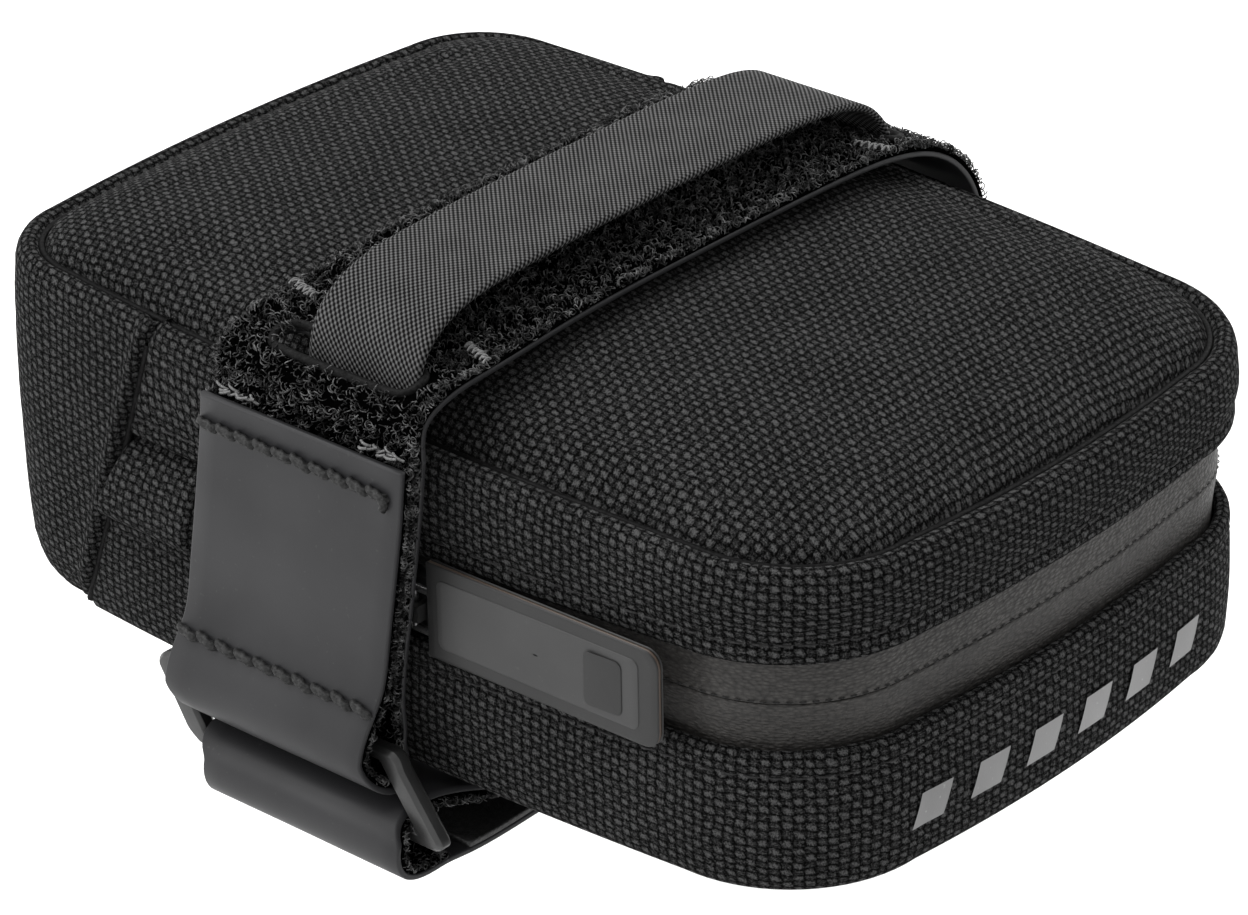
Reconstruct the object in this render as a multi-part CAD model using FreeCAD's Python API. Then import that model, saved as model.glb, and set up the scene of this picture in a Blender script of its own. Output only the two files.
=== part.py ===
import FreeCAD, Part
import math
import os

os.makedirs("parts", exist_ok=True)

Vector = FreeCAD.Vector

# Saddle bag, in millimetres. While it is built, X runs along the bag (+X to the tail end), Y across it
# (-Y is the side with the ring), Z is up, and zero is the middle of the bag's bottom edge outline.
# The last step moves the origin to the rail tunnel under the webbing band.

# Bag body
LENGTH = 128.0
WIDTH = 90.0
SIDE_BOW = 2.0
END_BOW = 1.5
TAIL_RADIUS = 18.0
SPINE_RADIUS = 13.0
SEAM_HEIGHT = 40.5
TOP_SLOPE = -0.033
TOP_CROWN = 7.4
BOTTOM_CROWN = 5.2
CROWN_POWER = 5
CROWN_RINGS = (1.0, 0.97, 0.92, 0.84, 0.7, 0.5, 0.25)
SEAM_INSET = 3.0
FABRIC = 1.2
GUSSET = 1.4
FLANGE = 1.3
STIFFENER = 2.0
BOARD = 2.2
LINING = 0.6
LINING_INSET = 5.0
LINING_ROOF = 34.5
LINING_FLOOR = 6.5
LINING_TOP_CROWN = 7.0
LINING_BOTTOM_CROWN = 4.0
LINING_ZIP_GAP = 3.0
BINDING = 1.2
BINDING_INSET = 3.65
BINDING_HEIGHT = 1.3
BINDING_GAP = 0.5
JOIN = 0.05
BODY_GAP = 0.3

# Zip
ZIP_MIDDLE = 21.5
ZIP_HALF = 5.6
ZIP_SLOPE = 0.016
TAPE_INSET = 1.6
TAPE = 1.0
TAPE_TUCK = 1.2
COIL = 1.5
GARAGE_END = -28.0
GARAGE_PROUD = 0.9

# Reflective bars on the tail end
PRINT = 0.2
PRINT_LOW = 4.2
PRINT_HIGH = 10.0
PRINT_START = -27.0
PRINT_PITCH = 9.0
PRINT_WIDTH = 5.0
PRINT_COUNT = 6

# Seam between the spine panel and the two gussets, as points in X and Z on its curve
SPINE_SEAM = ((-30.0, 46.0), (-38.5, 22.0), (-47.5, -2.0))

# Clamshell hinge along the foot of the spine panel
SHELL_HINGE_Z = 1.5

# Strap: loop pile on one face, smooth backing on the other
STRAP_X = -2.5
STRAP_WIDTH = 30.0
BACKING = 0.7
PILE = 1.2
HOOK = 0.8
TOP_ROUTE = (
    (-48.5, 43.0), (-48.0, 45.4), (-45.2, 47.2), (-38.0, 48.2), (-25.0, 49.1), (0.0, 49.5),
    (20.0, 49.3), (32.0, 48.4), (39.0, 46.4), (43.6, 43.4), (46.4, 40.0), (47.9, 36.0),
)
NEAR_ROUTE = (
    (-48.5, 41.4), (-48.5, 32.0), (-48.5, 22.0), (-48.5, 13.0), (-48.0, 8.6), (-47.35, 4.9),
    (-48.3, 2.0), (-50.6, 1.0), (-52.9, 2.0), (-53.85, 4.9), (-53.0, 8.6), (-51.4, 12.6),
    (-51.0, 18.0), (-50.97, 26.0), (-50.95, 34.0), (-50.95, 41.4),
)
FAR_ROUTE = ((47.95, 33.2), (48.1, 25.0), (48.1, 15.0), (48.05, 6.0), (47.9, 1.4))
UNDER_ROUTE = (
    (47.8, 0.2), (46.9, -3.4), (44.0, -6.0), (38.0, -7.3), (25.0, -8.2), (0.0, -8.3),
    (-15.0, -7.8), (-28.0, -6.5), (-36.0, -4.6), (-43.0, -2.4),
)
FOLD_ROUTE = (
    (-43.5, -2.2), (-46.5, -1.75), (-50.6, -1.85), (-53.1, -2.95), (-53.9, -5.2),
    (-53.1, -7.5), (-50.6, -8.6), (-46.5, -8.75), (-43.5, -8.85),
)
TAIL_ROUTE = ((-43.0, -9.2), (-30.0, -9.8), (-15.0, -10.5), (6.0, -10.8))

# Slots that the webbing band passes through
SLOT_X = -0.3
SLOT_CUT_LOW = 38.0
SLOT_CUT_HIGH = 56.0
SLOT_WIDTH = 21.0
SLOT_NEAR = (-46.6, -42.4)
SLOT_FAR = (33.6, 38.2)

# Webbing band, which arches over the saddle rails
WEB_X = 1.7
WEB_WIDTH = 16.0
WEB_THICKNESS = 1.0
WEB_ROUTE = (
    (-43.9, 42.0), (-43.8, 46.5), (-42.6, 50.2), (-38.5, 53.2), (-30.0, 54.7), (-15.0, 55.2),
    (0.0, 55.3), (15.0, 55.2), (24.0, 54.7), (30.0, 53.3), (33.6, 50.6), (35.2, 47.6), (35.7, 45.9),
)
TUNNEL_Z = 52.6

# Ring: flat bar, bent to a rectangle
RING_Y = -50.6
RING_TOP_Z = 4.3
RING_PITCH = 9.5
RING_BAR = 3.2
RING_THICKNESS = 2.2
RING_SIDE_BAR = 3.4
RING_PLAY = 0.8
RING_CORNER = 2.4

# Slider and pull tab
SLIDER_X = 4.0
SLIDER_LENGTH = 8.0
SLIDER_HEIGHT = 7.0
SLIDER_FACE_Y = -43.8
SLIDER_PLATE = 1.4
SLIDER_CORNER = 1.5
BRIDGE_START = 1.9
BRIDGE_LENGTH = 5.2
BRIDGE_DEPTH = 2.2
BRIDGE_BAR = 0.8
BRIDGE_WIDTH = 2.0
LINK_RADIUS = 0.45
LINK_SPAN = 5.0
PIVOT_X = 9.4
PIVOT_Y = -45.95
TAB_START = 11.6
TAB_END = 44.0
TAB_LOW = 16.3
TAB_HIGH = 28.0
TAB_THICKNESS = 1.0
TAB_CORNER = 2.0
TAB_FACE = 0.3
TAB_BORDER = 1.6
TAB_END_BORDER = 2.6
TAB_PANEL_CORNER = 1.0
TAB_LINK_LAP = 2.0

# Stitching
STITCH_LENGTH = 2.4
STITCH_WIDTH = 0.7
STITCH_HEIGHT = 0.5
STITCH_COUNT = 9
UPPER_STITCH_ROW = 37.6
LOWER_STITCH_ROW = 10.4
LOWER_ROW_PROUD = 1.45
BARTACK_LENGTH = 5.0
BARTACKS = ((-12.5, -37.5, 49.85), (9.5, -37.5, 49.85), (-12.5, 29.0, 50.2), (9.5, 29.0, 50.2))

# Beyond every piece, for the blocks that trim them
REACH = 90.0
TALL = 60.0


def outline(inset, z, scale=1.0):
    """Closed outline of the bag seen from above: rounded corners, slightly bowed sides."""
    half_length = (LENGTH / 2 - END_BOW - inset) * scale
    half_width = (WIDTH / 2 - SIDE_BOW - inset) * scale
    tail = (TAIL_RADIUS - inset) * scale
    spine = (SPINE_RADIUS - inset) * scale
    side = half_width + SIDE_BOW * scale
    end = half_length + END_BOW * scale
    middle_x = (spine - tail) / 2
    corners = (
        (half_length, half_width, tail, 0), (-half_length, half_width, spine, 90),
        (-half_length, -half_width, spine, 180), (half_length, -half_width, tail, 270),
    )
    bows = (Vector(middle_x, side, z), Vector(-end, 0, z), Vector(middle_x, -side, z), Vector(end, 0, z))
    arcs = []
    for corner_x, corner_y, radius, start in corners:
        centre_x = corner_x - math.copysign(radius, corner_x)
        centre = Vector(centre_x, corner_y - math.copysign(radius, corner_y), z)
        points = []
        for turn in (0, 45, 90):
            angle = math.radians(start + turn)
            points.append(centre + Vector(radius * math.cos(angle), radius * math.sin(angle), 0))
        arcs.append(points)
    edges = []
    for index, points in enumerate(arcs):
        following = arcs[(index + 1) % len(arcs)]
        edges.append(Part.Arc(*points).toShape())
        edges.append(Part.Arc(points[2], bows[index], following[0]).toShape())
    return Part.Wire(edges)


def prism(inset, low, high):
    return Part.Face(outline(inset, low)).extrude(Vector(0, 0, high - low))


def between(low, low_slope, high, high_slope):
    """Block between two planes that may slope along X."""
    points = []
    for x, z in ((-REACH, low), (REACH, low), (REACH, high), (-REACH, high)):
        slope = low_slope if z == low else high_slope
        points.append(Vector(x, -REACH, z + slope * x))
    return Part.Face(Part.makePolygon(points + points[:1])).extrude(Vector(0, 2 * REACH, 0))


def box(low, high):
    size = [b - a for a, b in zip(low, high)]
    return Part.makeBox(*size, Vector(*low))


def wall(inset, thickness, low, high):
    """Upright band that follows the outline, between two heights."""
    return prism(inset, low, high).cut(prism(inset + thickness, low - 1, high + 1))


def crowned(inset, base, rise):
    """Solid on the outline whose face rises steeply at the edge and is nearly flat in the middle."""
    rings = [outline(inset, base + rise * (1 - scale ** CROWN_POWER), scale) for scale in CROWN_RINGS]
    return Part.makeLoft(rings, True, False)


def crowned_sheet(inset, base, rise, thickness):
    inward = -math.copysign(thickness, rise)
    return crowned(inset, base, rise).cut(crowned(inset + thickness, base + inward, rise))


def tilted(shape):
    """Lean a top piece along the bag, to the slope of the top seam."""
    turned = shape.copy()
    turned.rotate(Vector(0, 0, SEAM_HEIGHT), Vector(0, -1, 0), math.degrees(math.atan(TOP_SLOPE)))
    return turned


def spine_zone(grow=0.0):
    """Everything on the seatpost side of the curved spine seam."""
    top, middle, foot = [Vector(x + grow, -REACH, z) for x, z in SPINE_SEAM]
    back_foot = Vector(-REACH, -REACH, foot.z)
    back_top = Vector(-REACH, -REACH, top.z)
    edges = [
        Part.Arc(top, middle, foot).toShape(), Part.makeLine(foot, back_foot),
        Part.makeLine(back_foot, back_top), Part.makeLine(back_top, top),
    ]
    return Part.Face(Part.Wire(edges)).extrude(Vector(0, 2 * REACH, 0))


def ribbon(route, low, high, centre_x, width, samples=5):
    """Flat strip along a smooth route in Y and Z, between two offsets to the left of the route."""
    line = Part.BSplineCurve()
    line.interpolate([Vector(0, y, z) for y, z in route])
    count = samples * len(route)
    first = line.FirstParameter
    last = line.LastParameter
    sides = []
    for offset in (low, high):
        points = []
        for index in range(count + 1):
            parameter = first + (last - first) * index / count
            tangent = line.tangent(parameter)[0]
            points.append(line.value(parameter) + Vector(0, -tangent.z, tangent.y) * offset)
        side = Part.BSplineCurve()
        side.interpolate(points)
        sides.append((side.toShape(), points[0], points[-1]))
    (near_edge, near_start, near_end), (far_edge, far_start, far_end) = sides
    ends = (Part.makeLine(near_end, far_end), Part.makeLine(far_start, near_start))
    strip = Part.Face(Part.Wire(Part.__sortEdges__([near_edge, ends[0], far_edge, ends[1]])))
    solid = strip.extrude(Vector(width, 0, 0))
    solid.translate(Vector(centre_x - width / 2, 0, 0))
    return solid


def strap(route, low, high):
    return ribbon(route, low, high, STRAP_X, STRAP_WIDTH)


def slotted(shape):
    """Cut the two oval slots for the webbing band."""
    for low_y, high_y in (SLOT_NEAR, SLOT_FAR):
        radius = (high_y - low_y) / 2
        middle_y = (low_y + high_y) / 2
        half = SLOT_WIDTH / 2 - radius
        slot = box((SLOT_X - half, low_y, SLOT_CUT_LOW), (SLOT_X + half, high_y, SLOT_CUT_HIGH))
        for side in (-1, 1):
            foot = Vector(SLOT_X + side * half, middle_y, SLOT_CUT_LOW)
            end = Part.makeCylinder(radius, SLOT_CUT_HIGH - SLOT_CUT_LOW, foot)
            slot = slot.fuse(end)
        shape = shape.cut(slot)
    return shape


def upper_shell():
    """Panels that stay with the saddle rails."""
    zip_low = ZIP_MIDDLE - ZIP_HALF
    zip_high = ZIP_MIDDLE + ZIP_HALF
    foot = SHELL_HINGE_Z + BODY_GAP / 2
    side = wall(0, GUSSET, foot, TALL).common(between(-REACH, 0, SEAM_HEIGHT, TOP_SLOPE))
    rim_inset = GUSSET / 2
    rim = tilted(wall(rim_inset, SEAM_INSET - rim_inset, SEAM_HEIGHT - FLANGE, SEAM_HEIGHT - 3 * JOIN))
    shell = side.fuse(rim)
    above_zip = between(zip_high, ZIP_SLOPE, TALL, 0)
    garage_band = between(zip_low + BODY_GAP, ZIP_SLOPE, zip_high - JOIN, ZIP_SLOPE)
    cover = wall(-GARAGE_PROUD, GUSSET + GARAGE_PROUD, 0, TALL).common(garage_band).cut(spine_zone())
    cover = cover.common(box((-REACH, -REACH, 0), (GARAGE_END, REACH, TALL)))
    stiff_top = between(-REACH, 0, SEAM_HEIGHT - FLANGE - FABRIC, TOP_SLOPE)
    stiff = wall(GUSSET + 2 * JOIN, STIFFENER, foot + 1, TALL).common(stiff_top)
    above_tape = between(zip_high + TAPE_TUCK + JOIN, ZIP_SLOPE, TALL, 0)
    tape_zone = box((GARAGE_END + JOIN, -REACH, 0), (REACH, REACH, TALL))
    tape_band = between(ZIP_MIDDLE + BODY_GAP / 2, ZIP_SLOPE, zip_high + TAPE_TUCK, ZIP_SLOPE)
    coil_band = between(ZIP_MIDDLE + BODY_GAP / 2, ZIP_SLOPE, ZIP_MIDDLE + COIL, ZIP_SLOPE)
    tape = wall(TAPE_INSET, TAPE, 0, TALL).common(tape_band).common(tape_zone)
    coil = wall(TAPE_INSET + TAPE + JOIN, COIL, 0, TALL).common(coil_band).common(tape_zone)
    board_base = SEAM_HEIGHT - FABRIC - JOIN
    board_inset = SEAM_INSET + FABRIC + 3 * JOIN
    binding_top = board_base - BINDING_GAP
    lining_foot = ZIP_MIDDLE + LINING_ZIP_GAP
    inner_inset = LINING_INSET + LINING
    outer = prism(LINING_INSET, lining_foot, LINING_ROOF)
    outer = outer.fuse(crowned(LINING_INSET, LINING_ROOF, LINING_TOP_CROWN))
    inner = prism(inner_inset, lining_foot - 1, LINING_ROOF)
    inner = inner.fuse(crowned(inner_inset, LINING_ROOF - LINING, LINING_TOP_CROWN))
    return {
        "top_panel": tilted(crowned_sheet(SEAM_INSET + 2 * JOIN, SEAM_HEIGHT, TOP_CROWN, FABRIC)),
        "top_foam_board": tilted(crowned_sheet(board_inset, board_base, TOP_CROWN, BOARD)),
        "top_seam_binding": tilted(wall(BINDING_INSET, BINDING, binding_top - BINDING_HEIGHT, binding_top)),
        "upper_gusset": shell.common(above_zip).cut(spine_zone()),
        "upper_gusset_stiffener": stiff.common(above_tape).cut(spine_zone()),
        "upper_lining": tilted(outer.cut(inner)),
        "spine_panel": shell.common(spine_zone()),
        "spine_stiffener": stiff.common(spine_zone(-JOIN)),
        "zip_end_cover_near": cover.common(box((-REACH, -REACH, 0), (REACH, 0, 60))),
        "zip_end_cover_far": cover.common(box((-REACH, 0, 0), (REACH, REACH, 60))),
        "upper_zip_tape": tape,
        "upper_zip_coil": coil,
    }


def lower_shell():
    """Panels that drop when the bag is opened."""
    zip_low = ZIP_MIDDLE - ZIP_HALF
    rim = wall(0, SEAM_INSET, 0, FLANGE)
    side = wall(0, GUSSET, 0, TALL).common(between(-REACH, 0, zip_low, ZIP_SLOPE)).cut(spine_zone(BODY_GAP))
    tape_zone = box((GARAGE_END + BODY_GAP, -REACH, 0), (REACH, REACH, TALL))
    tape_band = between(zip_low - TAPE_TUCK, ZIP_SLOPE, ZIP_MIDDLE - BODY_GAP / 2, ZIP_SLOPE)
    coil_band = between(ZIP_MIDDLE - COIL, ZIP_SLOPE, ZIP_MIDDLE - BODY_GAP / 2, ZIP_SLOPE)
    tape = wall(TAPE_INSET, TAPE, 0, TALL).common(tape_band).common(tape_zone)
    coil = wall(TAPE_INSET + TAPE + JOIN, COIL, 0, TALL).common(coil_band).common(tape_zone)
    below_tape = between(-REACH, 0, zip_low - TAPE_TUCK - JOIN, ZIP_SLOPE)
    stiff = wall(GUSSET + 2 * JOIN, STIFFENER, FLANGE + JOIN, TALL).common(below_tape)
    stiff = stiff.cut(spine_zone(BODY_GAP))
    board_inset = SEAM_INSET + FABRIC + 3 * JOIN
    binding_foot = FLANGE + FABRIC + BINDING_GAP
    inner_inset = LINING_INSET + LINING
    outer = prism(LINING_INSET, LINING_FLOOR, ZIP_MIDDLE - LINING_ZIP_GAP)
    outer = outer.fuse(crowned(LINING_INSET, LINING_FLOOR, -LINING_BOTTOM_CROWN))
    inner = prism(inner_inset, LINING_FLOOR, ZIP_MIDDLE)
    inner = inner.fuse(crowned(inner_inset, LINING_FLOOR + LINING, -LINING_BOTTOM_CROWN))
    print_band = wall(-PRINT - JOIN, PRINT + 0.8 * JOIN, PRINT_LOW, PRINT_HIGH)
    print_band = print_band.common(box((LENGTH / 4, -REACH, 0), (REACH, REACH, TALL)))
    marks = []
    for index in range(PRINT_COUNT):
        start = PRINT_START + PRINT_PITCH * index
        marks.append(print_band.common(box((0, start, 0), (REACH, start + PRINT_WIDTH, TALL))))
    return {
        "bottom_panel": crowned_sheet(SEAM_INSET + 2 * JOIN, FLANGE, -BOTTOM_CROWN, FABRIC),
        "bottom_foam_board": crowned_sheet(board_inset, FLANGE + FABRIC + JOIN, -BOTTOM_CROWN, BOARD),
        "bottom_seam_binding": wall(BINDING_INSET, BINDING, binding_foot, binding_foot + BINDING_HEIGHT),
        "lower_gusset": side.fuse(rim),
        "lower_gusset_stiffener": stiff,
        "lower_lining": outer.cut(inner),
        "lower_zip_tape": tape,
        "lower_zip_coil": coil,
        "reflective_print": Part.makeCompound(marks),
    }


def top_strap():
    """Strap run and webbing band fixed to the top of the bag."""
    tacks = []
    for x, y, z in BARTACKS:
        low = (x - BARTACK_LENGTH / 2, y - STITCH_WIDTH / 2, z)
        high = (x + BARTACK_LENGTH / 2, y + STITCH_WIDTH / 2, z + STITCH_HEIGHT)
        tacks.append(box(low, high))
    return {
        "top_strap_backing": slotted(strap(TOP_ROUTE, -BACKING, 0)),
        "top_strap_pile": slotted(strap(TOP_ROUTE, 0, PILE)),
        "webbing_band": ribbon(WEB_ROUTE, 0, WEB_THICKNESS, WEB_X, WEB_WIDTH),
        "bartack_stitches": Part.makeCompound(tacks),
    }


def near_strap():
    """Strap run down the near side, folded round the ring's upper bar and sewn back up as a flap."""
    face_y = NEAR_ROUTE[-1][0] - BACKING - JOIN
    stitches = []
    pitch = STRAP_WIDTH / STITCH_COUNT
    for row_y, row_z in ((face_y, UPPER_STITCH_ROW), (face_y - LOWER_ROW_PROUD, LOWER_STITCH_ROW)):
        for index in range(STITCH_COUNT):
            x = STRAP_X + pitch * (index - (STITCH_COUNT - 1) / 2)
            low = (x - STITCH_LENGTH / 2, row_y - STITCH_HEIGHT, row_z - STITCH_WIDTH / 2)
            high = (x + STITCH_LENGTH / 2, row_y, row_z + STITCH_WIDTH / 2)
            stitches.append(box(low, high))
    return {
        "near_strap_backing": strap(NEAR_ROUTE, 0, BACKING),
        "near_strap_pile": strap(NEAR_ROUTE, -PILE, 0),
        "flap_stitches": Part.makeCompound(stitches),
    }


def far_strap():
    return {
        "far_strap_backing": strap(FAR_ROUTE, -BACKING, 0),
        "far_strap_pile": strap(FAR_ROUTE, 0, PILE),
    }


def under_strap():
    """Strap run under the bag, and its fold round the ring's lower bar."""
    return {
        "under_strap_backing": strap(UNDER_ROUTE, -BACKING, 0),
        "under_strap_pile": strap(UNDER_ROUTE, 0, PILE),
        "strap_fold": strap(FOLD_ROUTE, -BACKING, PILE),
    }


def strap_tail():
    return {
        "strap_tail_backing": strap(TAIL_ROUTE, -BACKING, 0),
        "strap_tail_hooks": strap(TAIL_ROUTE, 0, HOOK),
    }


def ring():
    """Rectangular flat-bar ring, rounded at its outer corners."""
    half_outer = STRAP_WIDTH / 2 + RING_PLAY + RING_SIDE_BAR
    half_inner = STRAP_WIDTH / 2 + RING_PLAY
    top = RING_TOP_Z + RING_BAR / 2
    foot = RING_TOP_Z - RING_PITCH - RING_BAR / 2
    y = RING_Y - RING_THICKNESS / 2
    plate = box((STRAP_X - half_outer, y, foot), (STRAP_X + half_outer, y + RING_THICKNESS, top))
    upright = [edge for edge in plate.Edges if abs(edge.tangentAt(edge.FirstParameter).y) > 0.9]
    plate = plate.makeFillet(RING_CORNER, upright)
    low = (STRAP_X - half_inner, y - 1, foot + RING_BAR)
    high = (STRAP_X + half_inner, y + RING_THICKNESS + 1, top - RING_BAR)
    return {"ring": plate.cut(box(low, high))}


def slider():
    """Slider plate on the zip tape, with the bridge that holds the pull link."""
    low_z = ZIP_MIDDLE - SLIDER_HEIGHT / 2
    face = SLIDER_FACE_Y - SLIDER_PLATE
    plate = box((SLIDER_X, face, low_z), (SLIDER_X + SLIDER_LENGTH, SLIDER_FACE_Y, low_z + SLIDER_HEIGHT))
    corners = [edge for edge in plate.Edges if abs(edge.tangentAt(edge.FirstParameter).y) > 0.9]
    plate = plate.makeFillet(SLIDER_CORNER, corners)
    low_z = ZIP_MIDDLE - BRIDGE_WIDTH / 2
    start = SLIDER_X + BRIDGE_START
    end = start + BRIDGE_LENGTH
    arch = box((start, face - BRIDGE_DEPTH, low_z), (end, face, low_z + BRIDGE_WIDTH))
    low = (start + BRIDGE_BAR, face - BRIDGE_DEPTH + BRIDGE_BAR, low_z - 1)
    high = (end - BRIDGE_BAR, face + 1, low_z + BRIDGE_WIDTH + 1)
    return {"zip_slider": plate, "slider_bridge": arch.cut(box(low, high))}


def rounded_plate(low, high, radius):
    plate = box(low, high)
    corners = []
    for edge in plate.Edges:
        upright = abs(edge.tangentAt(edge.FirstParameter).y) > 0.9
        if upright and edge.CenterOfMass.x > (low[0] + high[0]) / 2:
            corners.append(edge)
    return plate.makeFillet(radius, corners)


def pull_tab():
    """Laminated tab on a wire link."""
    half = LINK_SPAN / 2
    reach = TAB_START + TAB_LINK_LAP - PIVOT_X
    post = Part.makeCylinder(LINK_RADIUS, LINK_SPAN, Vector(PIVOT_X, PIVOT_Y, ZIP_MIDDLE - half))
    link = post
    for side in (-1, 1):
        start = Vector(PIVOT_X, PIVOT_Y, ZIP_MIDDLE + side * half)
        link = link.fuse(Part.makeCylinder(LINK_RADIUS, reach, start, Vector(1, 0, 0)))
        link = link.fuse(Part.makeSphere(LINK_RADIUS, start))
    half_tab = TAB_THICKNESS / 2
    low = (TAB_START, PIVOT_Y - half_tab, TAB_LOW)
    high = (TAB_END, PIVOT_Y + half_tab, TAB_HIGH)
    core = rounded_plate(low, high, TAB_CORNER).cut(link)
    face_y = PIVOT_Y - half_tab
    low = (TAB_START + TAB_BORDER, face_y - TAB_FACE, TAB_LOW + TAB_BORDER)
    high = (TAB_END - TAB_END_BORDER, face_y, TAB_HIGH - TAB_BORDER)
    panel = rounded_plate(low, high, TAB_PANEL_CORNER)
    return {"pull_link": link, "pull_tab": core, "pull_tab_panel": panel}


def main():
    origin = Vector(WEB_X, 0, TUNNEL_Z)
    groups = (
        upper_shell, lower_shell, top_strap, near_strap, far_strap, under_strap, strap_tail, ring, slider,
        pull_tab,
    )
    for group in groups:
        for name, shape in group().items():
            placed = shape.copy()
            placed.translate(origin * -1)
            placed.exportStep(f"parts/{name}.step")
            print(name, len(placed.Solids), placed.isValid(), round(placed.Volume, 1))


main()
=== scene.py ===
import math

import bpy
import numpy as np
from mathutils import Matrix, Vector


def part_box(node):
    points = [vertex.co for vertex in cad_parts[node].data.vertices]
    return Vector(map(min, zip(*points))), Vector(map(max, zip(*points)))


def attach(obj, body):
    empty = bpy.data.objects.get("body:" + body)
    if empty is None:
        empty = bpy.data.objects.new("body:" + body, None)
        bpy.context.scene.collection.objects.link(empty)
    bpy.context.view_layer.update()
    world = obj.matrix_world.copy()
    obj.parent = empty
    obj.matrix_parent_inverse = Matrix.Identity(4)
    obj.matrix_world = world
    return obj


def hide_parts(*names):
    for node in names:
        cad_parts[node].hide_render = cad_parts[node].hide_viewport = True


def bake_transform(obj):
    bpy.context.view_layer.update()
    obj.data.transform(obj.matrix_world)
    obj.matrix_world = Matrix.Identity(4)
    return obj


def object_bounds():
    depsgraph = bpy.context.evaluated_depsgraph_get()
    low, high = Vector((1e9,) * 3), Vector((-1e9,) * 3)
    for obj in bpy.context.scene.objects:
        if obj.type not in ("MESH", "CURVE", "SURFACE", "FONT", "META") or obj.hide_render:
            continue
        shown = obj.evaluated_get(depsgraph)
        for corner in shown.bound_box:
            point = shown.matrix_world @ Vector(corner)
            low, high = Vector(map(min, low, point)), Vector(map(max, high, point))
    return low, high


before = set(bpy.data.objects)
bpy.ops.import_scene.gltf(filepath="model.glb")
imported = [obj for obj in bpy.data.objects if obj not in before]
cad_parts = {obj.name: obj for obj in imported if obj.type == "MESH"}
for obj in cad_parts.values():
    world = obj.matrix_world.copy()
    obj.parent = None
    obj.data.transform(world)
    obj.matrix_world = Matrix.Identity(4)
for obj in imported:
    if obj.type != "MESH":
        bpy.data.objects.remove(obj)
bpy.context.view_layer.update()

# Everything below is in millimetres in the bag's own frame until place() puts it in the row frame:
# X runs along the bag to its tail end, -Y is the ring side, Z is up, and zero is the middle of the
# bottom edge's outline, which the lower gusset's foot follows all the way round.
MM = 0.001
foot_low, foot_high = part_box("lower_gusset")
ZERO = np.array([(foot_low.x + foot_high.x) / 2, (foot_low.y + foot_high.y) / 2, foot_low.z])
RNG = np.random.default_rng(41)

LENGTH = (foot_high.x - foot_low.x) / MM
WIDTH = (foot_high.y - foot_low.y) / MM
SIDE_BOW = 2.0
END_BOW = 1.5
TAIL_RADIUS = 18.0
SPINE_RADIUS = 13.0
SEAM_Z = 40.5
TOP_SLOPE = -0.033
TOP_CROWN = 7.4
BOTTOM_CROWN = 5.2
FABRIC = 1.2
SEAM_INSET = 3.0
ZIP_Z = 21.5
ZIP_HALF = 5.6
ZIP_SLOPE = 0.016
GARAGE_X = -24.0
SPINE_SEAM = ((-30.0, 46.0), (-38.5, 22.0), (-47.5, -2.0))
STRAP_X = -2.5
STRAP_WIDTH = 30.0
BACKING = 0.7
PILE = 1.2
HOOK = 0.8
WEB_X = 1.7
WEB_WIDTH = 16.0
SLOT_X = -0.3
SLOT_WIDTH = 21.0
SLOTS = ((-46.6, -42.4), (33.6, 38.2))
LEAN = 4.4
SHIFT_X = 1.3


def place(points):
    return np.asarray(points, float) * MM + ZERO


def point(x, y, z):
    return Vector(place((x, y, z)))


def columns_of(*columns):
    """Points from their columns; a single number is the same for all of them."""
    return np.stack(np.broadcast_arrays(*columns), -1)


def distances(line):
    """How far along a line each of its points is."""
    return np.concatenate([[0], np.cumsum(np.linalg.norm(np.diff(line, axis=0), axis=1))])


# ---------------------------------------------------------------- node helpers

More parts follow.
